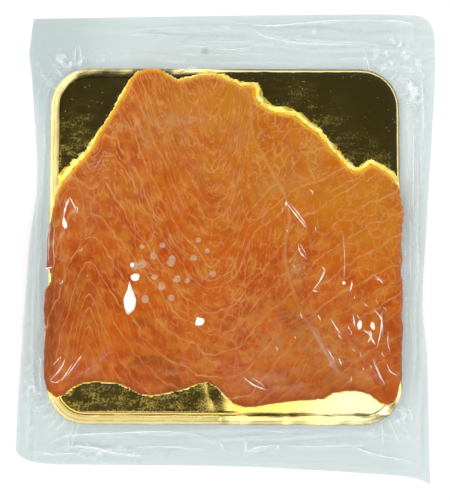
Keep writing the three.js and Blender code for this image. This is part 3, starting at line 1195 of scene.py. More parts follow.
    def sheet(self, name: str, keep: Field) -> Thing:
        """A grid of the lattice's nodes with all but the kept ones cut away."""
        rows, columns = keep.shape
        used_rows, used_columns = np.nonzero(keep.any(1))[0], np.nonzero(keep.any(0))[0]
        low_row, high_row = used_rows[0], used_rows[-1]
        low_column, high_column = used_columns[0], used_columns[-1]
        across, deep = int(high_column - low_column), int(high_row - low_row)
        piece = flat_grid(name, across, deep)
        flat = positions(piece)
        column = np.rint((flat[:, 0] + 1) / 2 * across).astype(int) + low_column
        row = np.rint((flat[:, 1] + 1) / 2 * deep).astype(int) + low_row
        attribute = piece.data.attributes.new("spot", "INT", "POINT")
        attribute.data.foreach_set("value", (row * columns + column).astype(np.int32))
        piece.data.vertices.foreach_set("select", ~keep[row, column])
        for parts in (piece.data.polygons, piece.data.edges):
            parts.foreach_set("select", np.zeros(len(parts), bool))
        take(piece)
        bpy.ops.object.mode_set(mode="EDIT")
        bpy.ops.mesh.select_mode(type="VERT")
        bpy.ops.mesh.delete(type="VERT")
        bpy.ops.mesh.select_all(action="SELECT")
        bpy.ops.mesh.delete_loose(use_verts=True, use_edges=True, use_faces=False)
        bpy.ops.object.mode_set(mode="OBJECT")
        return piece

    def nodes_of(self, piece: Thing) -> tuple[Field, Field]:
        """The lattice row and column of each vertex."""
        spots = np.zeros(len(piece.data.vertices), np.int32)
        piece.data.attributes["spot"].data.foreach_get("value", spots)
        return spots // self.lattice.x.shape[1], spots % self.lattice.x.shape[1]

    def thicken(self, piece: Thing, upper: Field) -> None:
        """Extrudes a sheet and lifts the new layer to the upper heights."""
        still = {"value": (0.0, 0.0, 0.0)}
        edited(piece, lambda: bpy.ops.mesh.extrude_region_move(TRANSFORM_OT_translate=still))
        chosen = np.zeros(len(piece.data.vertices), bool)
        piece.data.vertices.foreach_get("select", chosen)
        row, column = self.nodes_of(piece)
        places = positions(piece)
        places[:, 2] = np.where(chosen, upper[row, column] * MM, places[:, 2])
        set_positions(piece, places)
        edited(piece, face_outwards)

    def dress(self, piece: Thing, shape: SliceShape, depth: Field, material: bpy.types.Material) -> None:
        """Gives a slice its material and the attributes that the material reads."""
        row, column = self.nodes_of(piece)
        x, y = self.lattice.x[row, column], self.lattice.y[row, column]
        across, along = self.flow(x, y, shape.shift)
        store(piece, "flow", np.column_stack([across, along, positions(piece)[:, 2] / MM]))
        combed = ease(-18.0, -45.0, y) * ease(8.0, 30.0, x)
        shares = self.tones(shape, x, y, self.whole[row, column], combed)
        shares.update(self.veins(shape, x, y, depth[row, column], combed))
        for name, share in shares.items():
            store(piece, name, np.clip(share, 0, 1))
        piece.data.attributes.remove(piece.data.attributes["spot"])
        piece.data.materials.append(material)

    def tones(self, shape: SliceShape, x: Field, y: Field, whole: Field, combed: Field) -> dict[str, Field]:
        """How much the flesh is warmer or veiled, how much painted gold reflection shows and how much darker
        red, mostly painted shade, lies at each vertex.

        Args:
            shape: the slice.
            x: the place to the right in millimetres.
            y: the place to the back in millimetres.
            whole: the distance from the edge of all the fish.
            combed: how much a vertex belongs to the front right, where dark streaks of painted shade run.

        Returns:
            The share of each tone.
        """
        veil, deep, warm = (self.spotted(zone, x, y) for zone in (Zone.VEIL, Zone.DEEP, Zone.WARM))
        crown = ease(0.0, 40.0, y)
        # dark streaks at the front right: painted shade of shallow folds
        streaks = combed * ripple(0.93 * x + 0.37 * y, 0.16 * (0.37 * x - 0.93 * y), 5.0, 29)
        arc = np.hypot((x + 37.0) / 15.5, (y + 71.0) / 14.5)
        patch = 0.75 * ease(1.03, 0.97, arc) * ease(0.1, 0.95, arc) * ease(-58.0, -40.0, x)
        deep = np.maximum(deep + 0.6 * np.clip(-streaks, 0, 1), patch)
        # painted shade along the front and side edges, not at the back
        shaded_rim = 0.8 * ease(4.0, 0.0, whole) * (1 - crown) * (1 - 0.6 * ease(70.0, 84.0, x))
        return {
            "warm": warm * (1 + 0.4 * ripple(x, y, 8.0, 22)),
            "veil": veil * (1 + 0.35 * ripple(x, y, 9.0, 21)),
            # painted reflection of the gold along the back edge
            "gold_reflection": ease(3.4, 0.2, whole) * crown * shape.gold_reflection,
            "deep": deep + shaded_rim,
        }

    @staticmethod
    def veins(shape: SliceShape, x: Field, y: Field, edge: Field, combed: Field) -> dict[str, Field]:
        """How much of the lines, of the net and of the slice's border shows at each vertex.

        Args:
            shape: the slice.
            x: the place to the right in millimetres.
            y: the place to the back in millimetres.
            edge: the distance from the slice's edge.
            combed: how much a vertex belongs to the front right, where the veins are fainter.

        Returns:
            The share of each kind of vein.
        """
        lines = 1 - 0.3 * ease(5.0, 35.0, y) * ease(48.0, 30.0, np.abs(x - 5.0))
        lines = lines - 0.5 * ease(-42.0, -62.0, y) * ease(-15.0, -45.0, x) - 0.55 * combed
        net = (ease(-75.0, -15.0, y + 0.3 * x) * 0.5 + 0.4) * (0.8 + 0.5 * ease(20.0, 50.0, y))
        net = net * (1 - 0.5 * combed) * (1 - 0.25 * ease(10.0, 40.0, x))
        seam = shape.border * hump(edge - 1.1, 1.0) * ease(-30.0, 10.0, x) * ease(-80.0, 0.0, y) * 0.7
        return {
            "lines": lines,
            "net": net * (1 + 0.3 * ripple(x, y, 16.0, 23)),
            "seam": seam * (1 + 0.5 * ripple(x, y, 5.0, 25)),
        }


# The card and the brine on it
# ----------------------------


@dataclass
class Card:
    """The gold card: a rolled rim, a kink at the middle of its front edge and a front corner that tips."""

    lattice: Lattice
    finish: GoldFinish = field(default_factory=GoldFinish)
    board: BoardFinish = field(default_factory=BoardFinish)
    cells: int = 210
    thick: float = 0.8
    rim: float = 5.2
    rim_drop: float = 1.35
    roll_power: float = 1.25
    crisp_power: float = 2.6
    kink_line: tuple[Pair, ...] = ((-8.5, -66.0), (-8.0, -72.0), (-5.0, -86.0))
    kink_height: float = 1.05
    kink_width: float = 3.6
    facet_depth: float = 0.28
    tip_slope: float = 0.145
    tip_hinge: float = -80.0
    tip_range: Pair = (-0.85, 0.9)
    outline: Outline = field(init=False)
    tops: Field = field(init=False)
    piece: Thing = field(init=False)

    def surface(self, x: Field, y: Field) -> Field:
        """The height of the foil at places in millimetres."""
        inside = self.outline.nearest(x, y)[0]
        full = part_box("gold_card")[1].z / MM
        share = 1 - np.clip(inside / self.rim, 0.0, 1.0)
        roll = self.rim_drop * share ** (self.roll_power + self.crisp_power * self.crisp(x, y))
        ridge, along = distance_to_line(x, y, self.kink_line)
        fade = ease(1.0, 0.55, along) * ease(-60.0, -68.0, y)
        kink = self.kink_height * np.exp(-ridge / self.kink_width) * fade
        facet = self.facet_depth * hump(x + 1.0, 6.0) * ease(-70.0, -78.0, y)
        tipped = ease(-5.0, 4.0, x) * ease(-62.0, -72.0, y) * ease(90.0, 84.0, x)
        tip = tipped * np.clip(self.tip_slope * (y - self.tip_hinge), *self.tip_range)
        wave = 0.05 * ripple(x, y, 18.0, 41) + 0.02 * ripple(x, y, 6.0, 42)
        dents = (0.1 * ripple(x, y, 9.0, 43) + 0.05 * ripple(x, y, 3.6, 44)) * ease(7.0, 3.0, inside)
        rolled = roll * (1 - 0.4 * tipped) + dents
        return full - rolled + kink - facet + tip + wave * ease(0.0, 6.0, inside)

    def crisp(self, x: Field, y: Field) -> Field:
        """1 at the back right, where the rim bends down only at its very edge, and 0 elsewhere."""
        return ease(-30.0, 15.0, x) * ease(10.0, 40.0, y)

    def build(self) -> None:
        """Builds the card from a grid over its outline."""
        node = CadNode("gold_card")
        self.outline = Outline(node.outline())
        piece = flat_grid("gold_card_foil", self.cells, self.cells)
        x, y = spread_over(piece, self.outline, self.cells, self.cells)
        settle(piece, x, y, self.surface(x, y))
        piece.data.materials.append(self.finish.material())
        piece.data.materials.append(self.board.material())
        modified(piece, "SOLIDIFY", thickness=self.thick * MM, offset=-1.0, material_offset=1,
                 material_offset_rim=1, use_even_offset=True)
        shade_smooth(piece, 40.0)
        self.piece = piece
        inside = self.outline.nearest(self.lattice.x, self.lattice.y)[0]
        self.tops = np.where(inside > 0, self.surface(self.lattice.x, self.lattice.y), -1.0)
        finish_piece(piece, "gold_card", "gold_card")

    def weather(self, outlines: list[Outline]) -> None:
        """Marks where the foil is dulled by the fish's juice, where a painted highlight pales its tipped
        front right corner and where painted shade lines run along the rim.

        Args:
            outlines: the outlines of the slices.
        """
        places = positions(self.piece) / MM
        x, y = places[:, 0] - MIDDLE[0], places[:, 1] - MIDDLE[1]
        gap = np.minimum.reduce([-outline.nearest(x, y)[0] for outline in outlines])
        near_fish = ease(30.0, 0.0, gap) * (0.2 + 0.75 * ease(-20.0, 50.0, x))
        front = ease(-60.0, -76.0, y) * ease(4.0, -7.0, x)
        left = ease(-45.0, -82.0, x) * ease(88.0, 45.0, y)
        tipped = ease(0.0, 12.0, x) * ease(-66.0, -72.0, y)
        spread = np.maximum(np.maximum(near_fish, front), left)
        store(self.piece, "worn", np.clip(0.12 + 0.88 * spread, 0, 1) * (1 - tipped))
        # painted highlight that pales the tipped front right corner
        glare = ease(24.0, 62.0, x) * ease(-70.0, -76.0, y)
        store(self.piece, "glare", np.clip(0.7 * glare, 0, 1))
        store(self.piece, "ridge", ease(-60.0, -72.0, y) * ease(8.0, -4.0, x))
        # where the painted shade lines along the rim show
        store(self.piece, "shade_lines", 1 - self.crisp(x, y))
        store(self.piece, "inside", self.outline.nearest(x, y)[0])


@dataclass
class Brine:
    """Brine drawn up along the edge of the fish, where it lies on bare foil."""

    lattice: Lattice
    card: Card
    fish: Fish
    finish: WetGoldFinish = field(default_factory=WetGoldFinish)
    reach: float = 3.2
    height: float = 1.6
    sunk: float = 0.05
    overlap: float = 1.2
    rim_gap: float = 1.0

    def build(self) -> None:
        """Builds the strip as a concave slope on the lattice."""
        grid = self.lattice
        x, y = grid.x, grid.y
        gaps = [-outline.nearest(x, y)[0] for outline in self.fish.outlines.values()]
        gap = np.minimum.reduce(gaps)
        on_card = self.card.outline.nearest(x, y)[0]
        wide = 0.3 + 0.15 * ease(0.0, 40.0, y) + 0.6 * ease(-30.0, 10.0, x) * ease(-10.0, 20.0, y)
        wide = wide + 0.9 * ease(-62.0, -82.0, x) * ease(20.0, 40.0, y)
        wide = np.clip(wide * (1 + 0.25 * ripple(x, y, 7.0, 51) + 0.3 * ripple(x, y, 2.0, 52)), 0.15, 1.5)
        reach = self.reach * wide
        fall = np.clip(1 - gap / reach, 0.0, 1.0)
        z = self.card.tops - self.sunk + self.height * wide * fall**2
        keep = (gap > -self.overlap) & (gap < reach) & (on_card > self.rim_gap)
        piece = self.fish.sheet("brine_edge", keep)
        row, column = self.fish.nodes_of(piece)
        settle(piece, x[row, column], y[row, column], z[row, column])
        piece.data.attributes.remove(piece.data.attributes["spot"])
        piece.data.materials.append(self.finish.material())
        shade_smooth(piece, 80.0)
        finish_piece(piece, "gold_card")


# The film
# --------


@dataclass(frozen=True)
class Crease:
    """A crease that stands up from the film, with a painted highlight along it and, if sharp isn't 0, a white
    crest of half width sharp, a painted glint.
    """

    line: tuple[Pair, ...]
    wide: float = 1.3
    high: float = 0.5
    pale: float = 0.0
    sharp: float = 0.0

    def over(self, x: Field, y: Field) -> tuple[Field, Field]:
        """The crease's height and its paleness, a painted highlight, at places in millimetres."""
        high = np.zeros(x.shape)
        pale = np.zeros(x.shape)
        points = np.array(self.line)
        reach = self.wide * 3.2
        near = (x > points[:, 0].min() - reach) & (x < points[:, 0].max() + reach)
        near &= (y > points[:, 1].min() - reach) & (y < points[:, 1].max() + reach)
        if near.any():
            gap, along = distance_to_line(x[near], y[near], self.line)
            taper = ease(0.0, 0.25, along) * ease(1.0, 0.75, along)
            high[near] = self.high * hump(gap, self.wide) * (0.15 + 0.85 * taper)
            soft = self.pale * (0.15 if self.sharp > 0 else 1.0)
            pale[near] = soft * hump(gap, self.wide * 0.42) * (0.4 + 0.6 * taper)
        return high, pale


def crease_of(row: tuple[float, ...]) -> Crease:
    """A crease from its width, height, paleness and sharpness and the x and y of each of its points."""
    wide, high, pale, sharp, *places = row
    return Crease(tuple(zip(places[::2], places[1::2])), wide, high, pale, sharp)


def fan(corner: Pair, start: float, end: float, count: int, seed: int) -> list[Crease]:
    """Short creases that spread out from a corner of the card, with painted highlights on them.

    Args:
        corner: the corner's middle.
        start: the first direction in degrees.
        end: the last direction in degrees.
        count: how many creases.
        seed: picks their lengths.

    Returns:
        The creases.
    """
    dice = np.random.RandomState(seed)
    made = []
    for k in range(count):
        angle = math.radians(start + (end - start) * (k + dice.uniform(0.1, 0.9)) / count)
        inner, outer = dice.uniform(17.0, 22.0), dice.uniform(25.0, 37.0)
        bend = angle + dice.uniform(-0.2, 0.2)
        line = (
            (corner[0] + inner * math.cos(angle), corner[1] + inner * math.sin(angle)),
            (corner[0] + outer * math.cos(bend), corner[1] + outer * math.sin(bend)),
        )
        made.append(Crease(line, dice.uniform(0.8, 1.3), dice.uniform(0.3, 0.8), dice.uniform(0.2, 0.8), 0.3))
    return made


@dataclass
class Pouch:
    """The two films: the base lies flat and the top is drawn down over card and fish."""

    lattice: Lattice
    card: Card
    fish: Fish
    finish: FilmFinish = field(default_factory=FilmFinish)
    across: int = 290
    deep: int = 326
    base_cells: int = 120
    rest: float = 0.55
    clearance: float = 0.25
    draw: float = 0.085
    rounds: int = 200
    # Listed creases; each row gives width, height, paleness (a painted highlight), the half width of a white
    # crest (a painted glint) and the x and y of its points.
    creases: tuple[tuple[float, ...], ...] = (
        (1, 0.35, 1, 0.35, 31.4, 20.1, 36, 14.2, 41.6, 7.2),
        (1, 0, 0.9, 0.25, 32.8, 20.4, 37.6, 14.6, 41.9, 8),
        (1, 0, 1, 0.6, 31.2, 21.3, 31, 18.9), (0.9, 0.3, 0.95, 0.35, 37, -0.5, 38.2, -4.6, 41.5, -8.2),
        (0.9, 0, 0.6, 0.22, 37.6, 0.3, 40, -3.6, 41.3, -6.2),
        (0.9, 0.3, 0.95, 0.35, 49, -11.6, 50.4, -14, 47.8, -19.5, 44.6, -23.6),
        (0.9, 0, 0.9, 0.4, 44.4, -23.8, 46.8, -24.6), (0.9, 0.3, 0.35, 0.3, 59.5, 6.7, 60.6, -7, 60.2, -20),
        (0.9, 0.3, 0.95, 0.38, 64.3, -18.5, 64, -21.5, 63.1, -24.6),
        (0.9, 0.3, 0.8, 0.35, 76, -17.5, 78.5, -18.6, 80, -20.5), (0.9, 0, 0.5, 0.22, 74.6, -15.6, 80.8, -19),
        (1.3, 0.3, 0.9, 0.45, 64.9, -37, 65.4, -42), (1.2, 0.3, 0.95, 0.5, 69.7, -43.5, 73.5, -46.5, 72, -50),
        (1, 0.3, 0.85, 0.45, 75.5, -33.6, 78.9, -38, 79.4, -46),
        (1, 0.3, 0.9, 0.35, 79.4, -34, 78.6, -44, 76.6, -52.6),
        (1, 0.3, 0.6, 0.3, 82.4, -44, 82.2, -50, 83.6, -55.4), (1, 0.3, 0.95, 0.5, 73, -46.5, 75.8, -51),
        (1.1, 0.3, 0.8, 0.35, 53.4, -38, 56, -42.4, 58.4, -45.7), (1.1, 0.3, 0.8, 0.35, 47, -36, 48.4, -39),
        (1.1, 0.3, 0.5, 0.4, 38, -35, 39, -38.4), (2.2, 0.45, 0.15, 0, 42.7, -39.5, 49, -52, 57.7, -66),
        (1.1, 0.3, 0.85, 0.3, 51.6, -53, 55.4, -59.6), (0.8, 0.25, 0.9, 0.35, 57.2, -57.5, 58.8, -61.2),
        (1.2, 0.3, 0.8, 0.35, 75, -60, 77.8, -66, 80.6, -70.6), (1.2, 0, 0.6, 0.22, 74, -57, 80.3, -70.8),
        (1.1, 0.3, 0.7, 0.35, 81.6, -60.5, 83.4, -64.4, 87, -66.4),
        (1, 0.3, 0.95, 0.4, 9.6, -67.5, 15, -71.4, 21.4, -73.8),
        (1, 0, 0.6, 0.22, 12.4, -67.6, 17.4, -69.8, 21, -73.4),
        (1, 0.3, 0.8, 0.38, -79.5, -58, -82, -63.5, -87.5, -69.7),
        (1, 0, 0.6, 0.25, -82.6, -58, -86.4, -62.4),
        (1, 0, 0.7, 0.25, -87.5, -69.7, -84, -70.4, -81.6, -68.4),
        (1, 0.3, 0.7, 0.35, -76, -61, -79.5, -66.5, -82, -70),
        (1, 0.3, 0.6, 0.35, -71, -56.5, -73, -59, -80.4, -69.2),
        (2.4, 0.45, 0.04, 0, -57, -52, -66, -61, -77, -70),
        (1.3, 0.4, 1, 0.55, -78.8, 23.2, -80.6, 18.5, -81.9, 12.4),
        (0.9, 0.3, 0.9, 0.38, -78.8, 23.2, -77, 20, -74.6, 15),
        (0.9, 0, 0.7, 0.3, -76.4, 18.6, -74.8, 17.6, -74.6, 15),
        (0.9, 0.3, 0.5, 0.35, -88.6, 11, -89.3, 0, -89, -10.5),
        (0.9, 0.3, 0.35, 0.4, -86.2, 8, -86.8, -1, -86.2, -9),
        (0.9, 0.3, 0.95, 0.45, -92, -12.6, -90, -12.9, -86.5, -12.4),
        (0.9, 0.3, 0.95, 0.5, -25.5, 89.3, -20, 91.5, -11.5, 93.2),
        (1.3, 0.7, 0.7, 0.5, -88.5, -101.4, -78, -97.2, -50, -95.6, -24, -95.2, -2.5, -99.8),
        (1.2, 0.5, 0.7, 0.4, -2.5, -99.8, -0.5, -102.5, 0, -105.5),
        (1.6, 0.6, 0.75, 0.8, -79.5, -102.4, -68, -102.9, -55.8, -105.5, -37.7, -107.5),
        (1.2, 0.6, 0.75, 0.5, 11, -97, 11.5, -104.6, 17.6, -102.5, 27.6, -102, 22.6, -106),
        (1.2, 0.6, 0.7, 0.4, 61.4, -99.8, 73, -105, 98, -110),
        (1.2, 0.6, 0.85, 0.5, 1, 117.3, 18.3, 114.7, 32.5, 115.2, 53.5, 117.3, 77.6, 118),
        (1.2, 0.6, 0.8, 0.45, 77.6, 118, 92, 117, 102.5, 113.8),
        (1.4, 0.6, 0.6, 0.5, 14.1, 113.7, 19.4, 109.6, 32.4, 106, 63.8, 104.4, 100, 103.4),
        (1.1, 0.5, 0.3, 0.35, -30, 107, 10, 106, 48, 108), (1.1, 0.5, 0.4, 0.4, 94.5, -60, 94.8, 0, 94.2, 60),
        (1.1, 0.5, 0.6, 0.4, 97.5, 84, 97, 40, 96.4, 5),
        (1.1, 0.5, 0.4, 0.35, -94, -60, -94.4, -10, -93.6, 50),
    )
    # Broad soft white streaks, painted highlights; the long one beside the right edge paints light over the
    # pack's shadow on that margin.
    soft_highlights: tuple[tuple[float, ...], ...] = (
        (-60.0, -104.2, 12.0, 1.3, 0.75), (-46.0, -106.4, 8.0, 1.0, 0.6), (45.0, 105.2, 24.0, 1.0, 0.6),
        (24.0, 109.4, 9.0, 1.2, 0.55), (100.0, 96.0, 1.5, 9.0, 0.6), (96.8, 30.0, 0.9, 40.0, 0.35),
        (-99.0, -88.0, 1.2, 14.0, 0.55), (15.0, -104.0, 6.0, 2.5, 0.4), (-20.0, 113.0, 26.0, 1.4, 0.3),
        (97.0, 62.0, 1.2, 8.0, 0.5), (-94.5, 40.0, 0.9, 22.0, 0.4), (60.0, -100.5, 16.0, 1.2, 0.35),
        (92.2, -16.0, 1.9, 34.0, 0.42),
    )
    # Crinkled patches: low bumps in the film with painted highlights on their spots.
    crinkles: tuple[tuple[float, ...], ...] = (
        (-76.0, 95.5, 16.0, 5.5, 0.95), (88.0, 101.0, 12.0, 7.0, 1.0), (98.0, 84.0, 5.0, 20.0, 1.0),
        (91.0, -87.0, 7.0, 7.0, 0.45), (-97.0, -72.0, 4.5, 26.0, 0.5), (-60.0, -105.0, 22.0, 5.0, 0.45),
        (40.0, 108.0, 40.0, 6.0, 0.35), (98.0, 0.0, 4.0, 60.0, 0.3),
    )
    tops: Field = field(init=False)
    pale: Field = field(init=False)
    dense_shade: Field = field(init=False)
    sharp: list[Crease] = field(init=False)

    def drape(self) -> None:
        """Draws the top film down over the contents, held off by its own tension."""
        contents = np.maximum(self.fish.tops, self.card.tops) + self.clearance
        floor = np.maximum(contents, self.rest)
        film = np.maximum(floor, floor.max() * (floor > self.rest + 0.01))
        for _ in range(self.rounds):
            mean = film.copy()
            mean[1:-1, 1:-1] = (film[:-2, 1:-1] + film[2:, 1:-1] + film[1:-1, :-2] + film[1:-1, 2:]) / 4
            film = np.maximum(floor, mean - self.draw)
        self.tops = soften(film, 1)

    def fold(self) -> None:
        """Adds creases, folds that run along the margins and fine ripples to the drawn film, with their
        painted highlights and painted shade.
        """
        x, y = self.lattice.x, self.lattice.y
        self.pale = np.zeros(x.shape)
        # painted shade: a greyer tint over the film, strongest in the back left margin and weakest at the
        # right
        self.dense_shade = 0.12 + 0.36 * ease(-45.0, -90.0, x) * ease(45.0, 95.0, y) - 0.12 * ease(84.0, 95.0, x)
        inside = self.card.outline.nearest(x, y)[0]
        margin = ease(-1.5, -5.0, inside)
        self.sharp = [crease_of(row) for row in self.creases] + self.glints()
        corners = fan((-70.0, 71.5), 95.0, 175.0, 11, 61) + fan((70.0, 71.5), 5.0, 85.0, 9, 62)
        corners += fan((70.0, -71.5), -85.0, -5.0, 9, 63) + fan((-70.0, -71.5), -175.0, -95.0, 9, 64)
        radii = 23.0, 25.0, 27.5, 30.5, 34.0
        corners += [Crease(self.bow(radius), 0.9, 0.45, 0.3, 0.25) for radius in radii]
        rim = Outline(CadNode("film_top").outline())
        for crease in self.margin_creases() + corners:
            line = np.array(crease.line)
            if rim.nearest(line[:, 0], line[:, 1])[0].min() > 1.0:
                self.sharp.append(crease)
        for crease in self.sharp:
            high, pale = crease.over(x, y)
            self.tops += high
            self.pale = np.maximum(self.pale, pale)
        self.run_folds(x, y, margin)
        # less painted shade at the right margin
        self.dense_shade *= 1 - 0.6 * ease(86.0, 93.0, x)
        for at_x, at_y, wide, deep, strength in self.crinkles:
            mask = strength * np.exp(-(((x - at_x) / wide) ** 2) - ((y - at_y) / deep) ** 2) * margin
            spots = np.clip(ripple(x, y, 1.7, 75) * 1.6 + ripple(x, y, 4.0, 76) * 1.4 - 0.3, 0.0, 1.0)
            self.tops += mask * 0.12 * spots
            self.pale = np.maximum(self.pale, mask * spots)
        for at_x, at_y, wide, deep, strength in self.soft_highlights:
            mask = strength * np.exp(-(((x - at_x) / wide) ** 2) - ((y - at_y) / deep) ** 2)
            self.pale = np.maximum(self.pale, mask * (0.6 + 0.4 * ripple(x, y, 2.6, 78)))
        self.dense_shade = np.maximum(self.dense_shade, 0.95 * ease(2.3, 1.2, np.hypot(x + 10.8, y - 100.8)))
        streaks = np.clip(ripple(x * 2.6 + y, y * 0.8 - x * 0.4, 11.0, 77) - 0.2, 0.0, 1.0)
        veiled = ease(-20.0, 40.0, y) * 0.025 + ease(-40.0, -80.0, x) * 0.02
        self.pale = np.maximum(self.pale, streaks * veiled * (1 - margin) * ease(2.0, 8.0, self.fish.whole))
        self.tops += 0.05 * ripple(x, y, 7.0, 71) * (1 - margin) + 0.03 * ripple(x, y, 3.0, 72)
        self.tops += margin * (0.12 * ripple(x, y, 10.0, 73) + 0.05 * ripple(x, y, 3.4, 74))
        self.tops = np.maximum(self.tops, self.rest - 0.15)

    @staticmethod
    def bow(radius: float) -> tuple[Pair, ...]:
        """A line that bows round the card's back left corner."""
        turns = [math.radians(angle) for angle in (98.0, 115.0, 132.0, 149.0, 166.0, 178.0)]
        return tuple((-70.0 + radius * math.cos(turn), 71.5 + radius * math.sin(turn)) for turn in turns)

    def run_folds(self, x: Field, y: Field, margin: Field) -> None:
        """Long shallow folds beside the card, along each of its four sides, with a painted highlight on each
        crest and a painted shade line beside it.
        """
        for near, far, (first, last), count in ((x, y, (92.5, 106.0), 6), (y, x, (94.0, 119.0), 8)):
            for side in (-1.0, 1.0):
                dice = np.random.RandomState(int(81 + count * 3 + side))
                for _ in range(count):
                    at = side * dice.uniform(first, last)
                    drift = 1.6 * np.sin(far / dice.uniform(22.0, 45.0) + dice.uniform(0, 6.3))
                    drift = drift + 0.6 * np.sin(far / dice.uniform(7.0, 12.0) + dice.uniform(0, 6.3))
                    middle, length = dice.uniform(-70, 70), dice.uniform(30.0, 90.0)
                    taper = ease(length, length * 0.6, np.abs(far - middle))
                    fold = hump(near - at - drift, dice.uniform(0.7, 1.6)) * taper * margin
                    self.tops = self.tops + fold * dice.uniform(0.3, 0.7)
                    # painted highlight along the fold's crest
                    self.pale = np.maximum(self.pale, fold * dice.uniform(0.0, 0.35))
                    # painted shade: a darker line beside the fold
                    shade = hump(near - at - drift - 1.6 * side, 0.8) * taper * margin
                    self.dense_shade = np.maximum(self.dense_shade, shade * dice.uniform(0.1, 0.7))

    def glints(self) -> list[Crease]:
        """Short sharp creases close together over the front right of the fish, and a few elsewhere, whose
        white crests are painted glints.
        """
        dice = np.random.RandomState(131)
        made = []
        fields = (
            ((56.0, 87.0), (-72.0, -26.0), 16),
            ((20.0, 60.0), (-60.0, 30.0), 7),
            ((-84.0, -60.0), (-68.0, 0.0), 6),
        )
        for (low_x, high_x), (low_y, high_y), count in fields:
            for _ in range(count):
                at_x, at_y = dice.uniform(low_x, high_x), dice.uniform(low_y, high_y)
                angle = math.radians(dice.uniform(-95.0, -40.0) - (55.0 if high_x < 0 else 0.0))
                long = dice.uniform(1.2, 4.0)
                bow = dice.uniform(-0.3, 0.3) * long
                step_x, step_y = math.cos(angle) * long, math.sin(angle) * long
                middle = (at_x + step_x / 2 - step_y / long * bow, at_y + step_y / 2 + step_x / long * bow)
                line = ((at_x, at_y), middle, (at_x + step_x, at_y + step_y))
                made.append(Crease(line, 0.9, 0.2, dice.uniform(0.3, 0.9), dice.uniform(0.18, 0.34)))
        return made

    def margin_creases(self) -> list[Crease]:
        """Sharp long creases in the margins, a few along each side of the card, with painted highlights on
        them.
        """
        dice = np.random.RandomState(101)
        made = []
        for upright, side, count in ((True, -1, 9), (True, 1, 8), (False, -1, 9), (False, 1, 8)):
            for _ in range(count):
                at = side * (dice.uniform(92.5, 105.0) if upright else dice.uniform(94.0, 118.0))
                start, length = dice.uniform(-100.0, 60.0), dice.uniform(14.0, 60.0)
                steps = [start + length * share for share in (0.0, 0.35, 0.7, 1.0)]
                offs = [at + dice.uniform(-0.9, 0.9) for _ in steps]
                line = tuple((o, t) if upright else (t, o) for o, t in zip(offs, steps))
                pale, sharp = dice.uniform(0.25, 0.75), dice.uniform(0.22, 0.4)
                made.append(Crease(line, dice.uniform(0.8, 1.3), dice.uniform(0.25, 0.55), pale, sharp))
        return made

    def build(self) -> None:
        """Builds both films."""
        self.drape()
        self.fold()
        material = self.finish.material()
        outline = Outline(CadNode("film_top").outline())
        top = flat_grid("film_top_sheet", self.across, self.deep)
        x, y = spread_over(top, outline, self.across, self.deep)
        settle(top, x, y, self.lattice.at(self.tops, x, y))
        store(top, "pale", self.lattice.at(self.pale, x, y))
        store(top, "dense_shade", self.lattice.at(self.dense_shade, x, y))
        at_edge = ease(7.0, 2.0, self.fish.whole) * ease(-4.0, -1.0, self.fish.whole)
        store(top, "matt", 0.9 * self.lattice.at(at_edge, x, y))
        top.data.materials.append(material)
        shade_smooth(top, 120.0)
        finish_piece(top, "film", "film_top")

        base = flat_grid("film_base_sheet", self.base_cells, self.base_cells)
        x, y = spread_over(base, Outline(CadNode("film_base").outline()), self.base_cells, self.base_cells)
        inside = self.card.outline.nearest(x, y)[0]
        lift = 0.12 * (1 + ripple(x, y, 12.0, 91)) * ease(0.0, -4.0, inside)
        settle(base, x, y, 0.05 + lift)
        store(base, "pale", np.zeros(len(x)))
        store(base, "dense_shade", np.full(len(x), 0.12))
        store(base, "matt", np.zeros(len(x)))
        edited(base, bpy.ops.mesh.flip_normals)
        base.data.materials.append(material)
        shade_smooth(base, 120.0)
        finish_piece(base, "film", "film_base")


@dataclass(frozen=True)
class Blister:
    """A small lifted patch of film: its middle, half sizes, turn in degrees and how pointed its top is."""

    x: float
    y: float
    wide: float
    long: float
    turn: float = 0.0
    pointed: float = 0.0
    pale: float = 1.0


def low_dome(name: str, lattice: Lattice, tops: Field, blister: Blister, high: float) -> Thing:
    """A low dome over a table of heights, with its paleness kept as an attribute.

    Args:
        name: the part's name.
        lattice: the lattice of the table.
        tops: the heights that the dome stands on.
        blister: its place and shape.
        high: its height in millimetres.

    Returns:
        The new part.
    """
    part = flat_grid(name, 40, 6)
    flat = positions(part)
    angle, share = flat[:, 0] * math.pi, (flat[:, 1] + 1) / 2
    turn = math.radians(blister.turn)
    up, out = np.cos(angle), np.sin(angle)
    narrow = 1 - blister.pointed * ease(-0.2, 1.0, up) * 0.75
    wobble = 1 + 0.05 * np.sin(angle * 3 + blister.x) + 0.03 * np.sin(angle * 5 + blister.y)
    u, v = out * blister.wide * narrow * share * wobble, up * blister.long * share * wobble
    x = blister.x + u * math.cos(turn) - v * math.sin(turn)
    y = blister.y + u * math.sin(turn) + v * math.cos(turn)
    settle(part, x, y, lattice.at(tops, x, y) + high * (1 - share**2))
    store(part, "pale", blister.pale * ease(1.02, 0.78, share))
    edited(part, lambda: bpy.ops.mesh.remove_doubles(threshold=MERGE_GAP), face_outwards)
    return part


def joined(name: str, parts: list[Thing]) -> Thing:
    """Joins parts into one piece of that name."""
    deselect_all()
    for part in parts:
        part.select_set(True)
    bpy.context.view_layer.objects.active = parts[0]
    bpy.ops.object.join()
    piece = bpy.context.object
    piece.name = name
    return piece


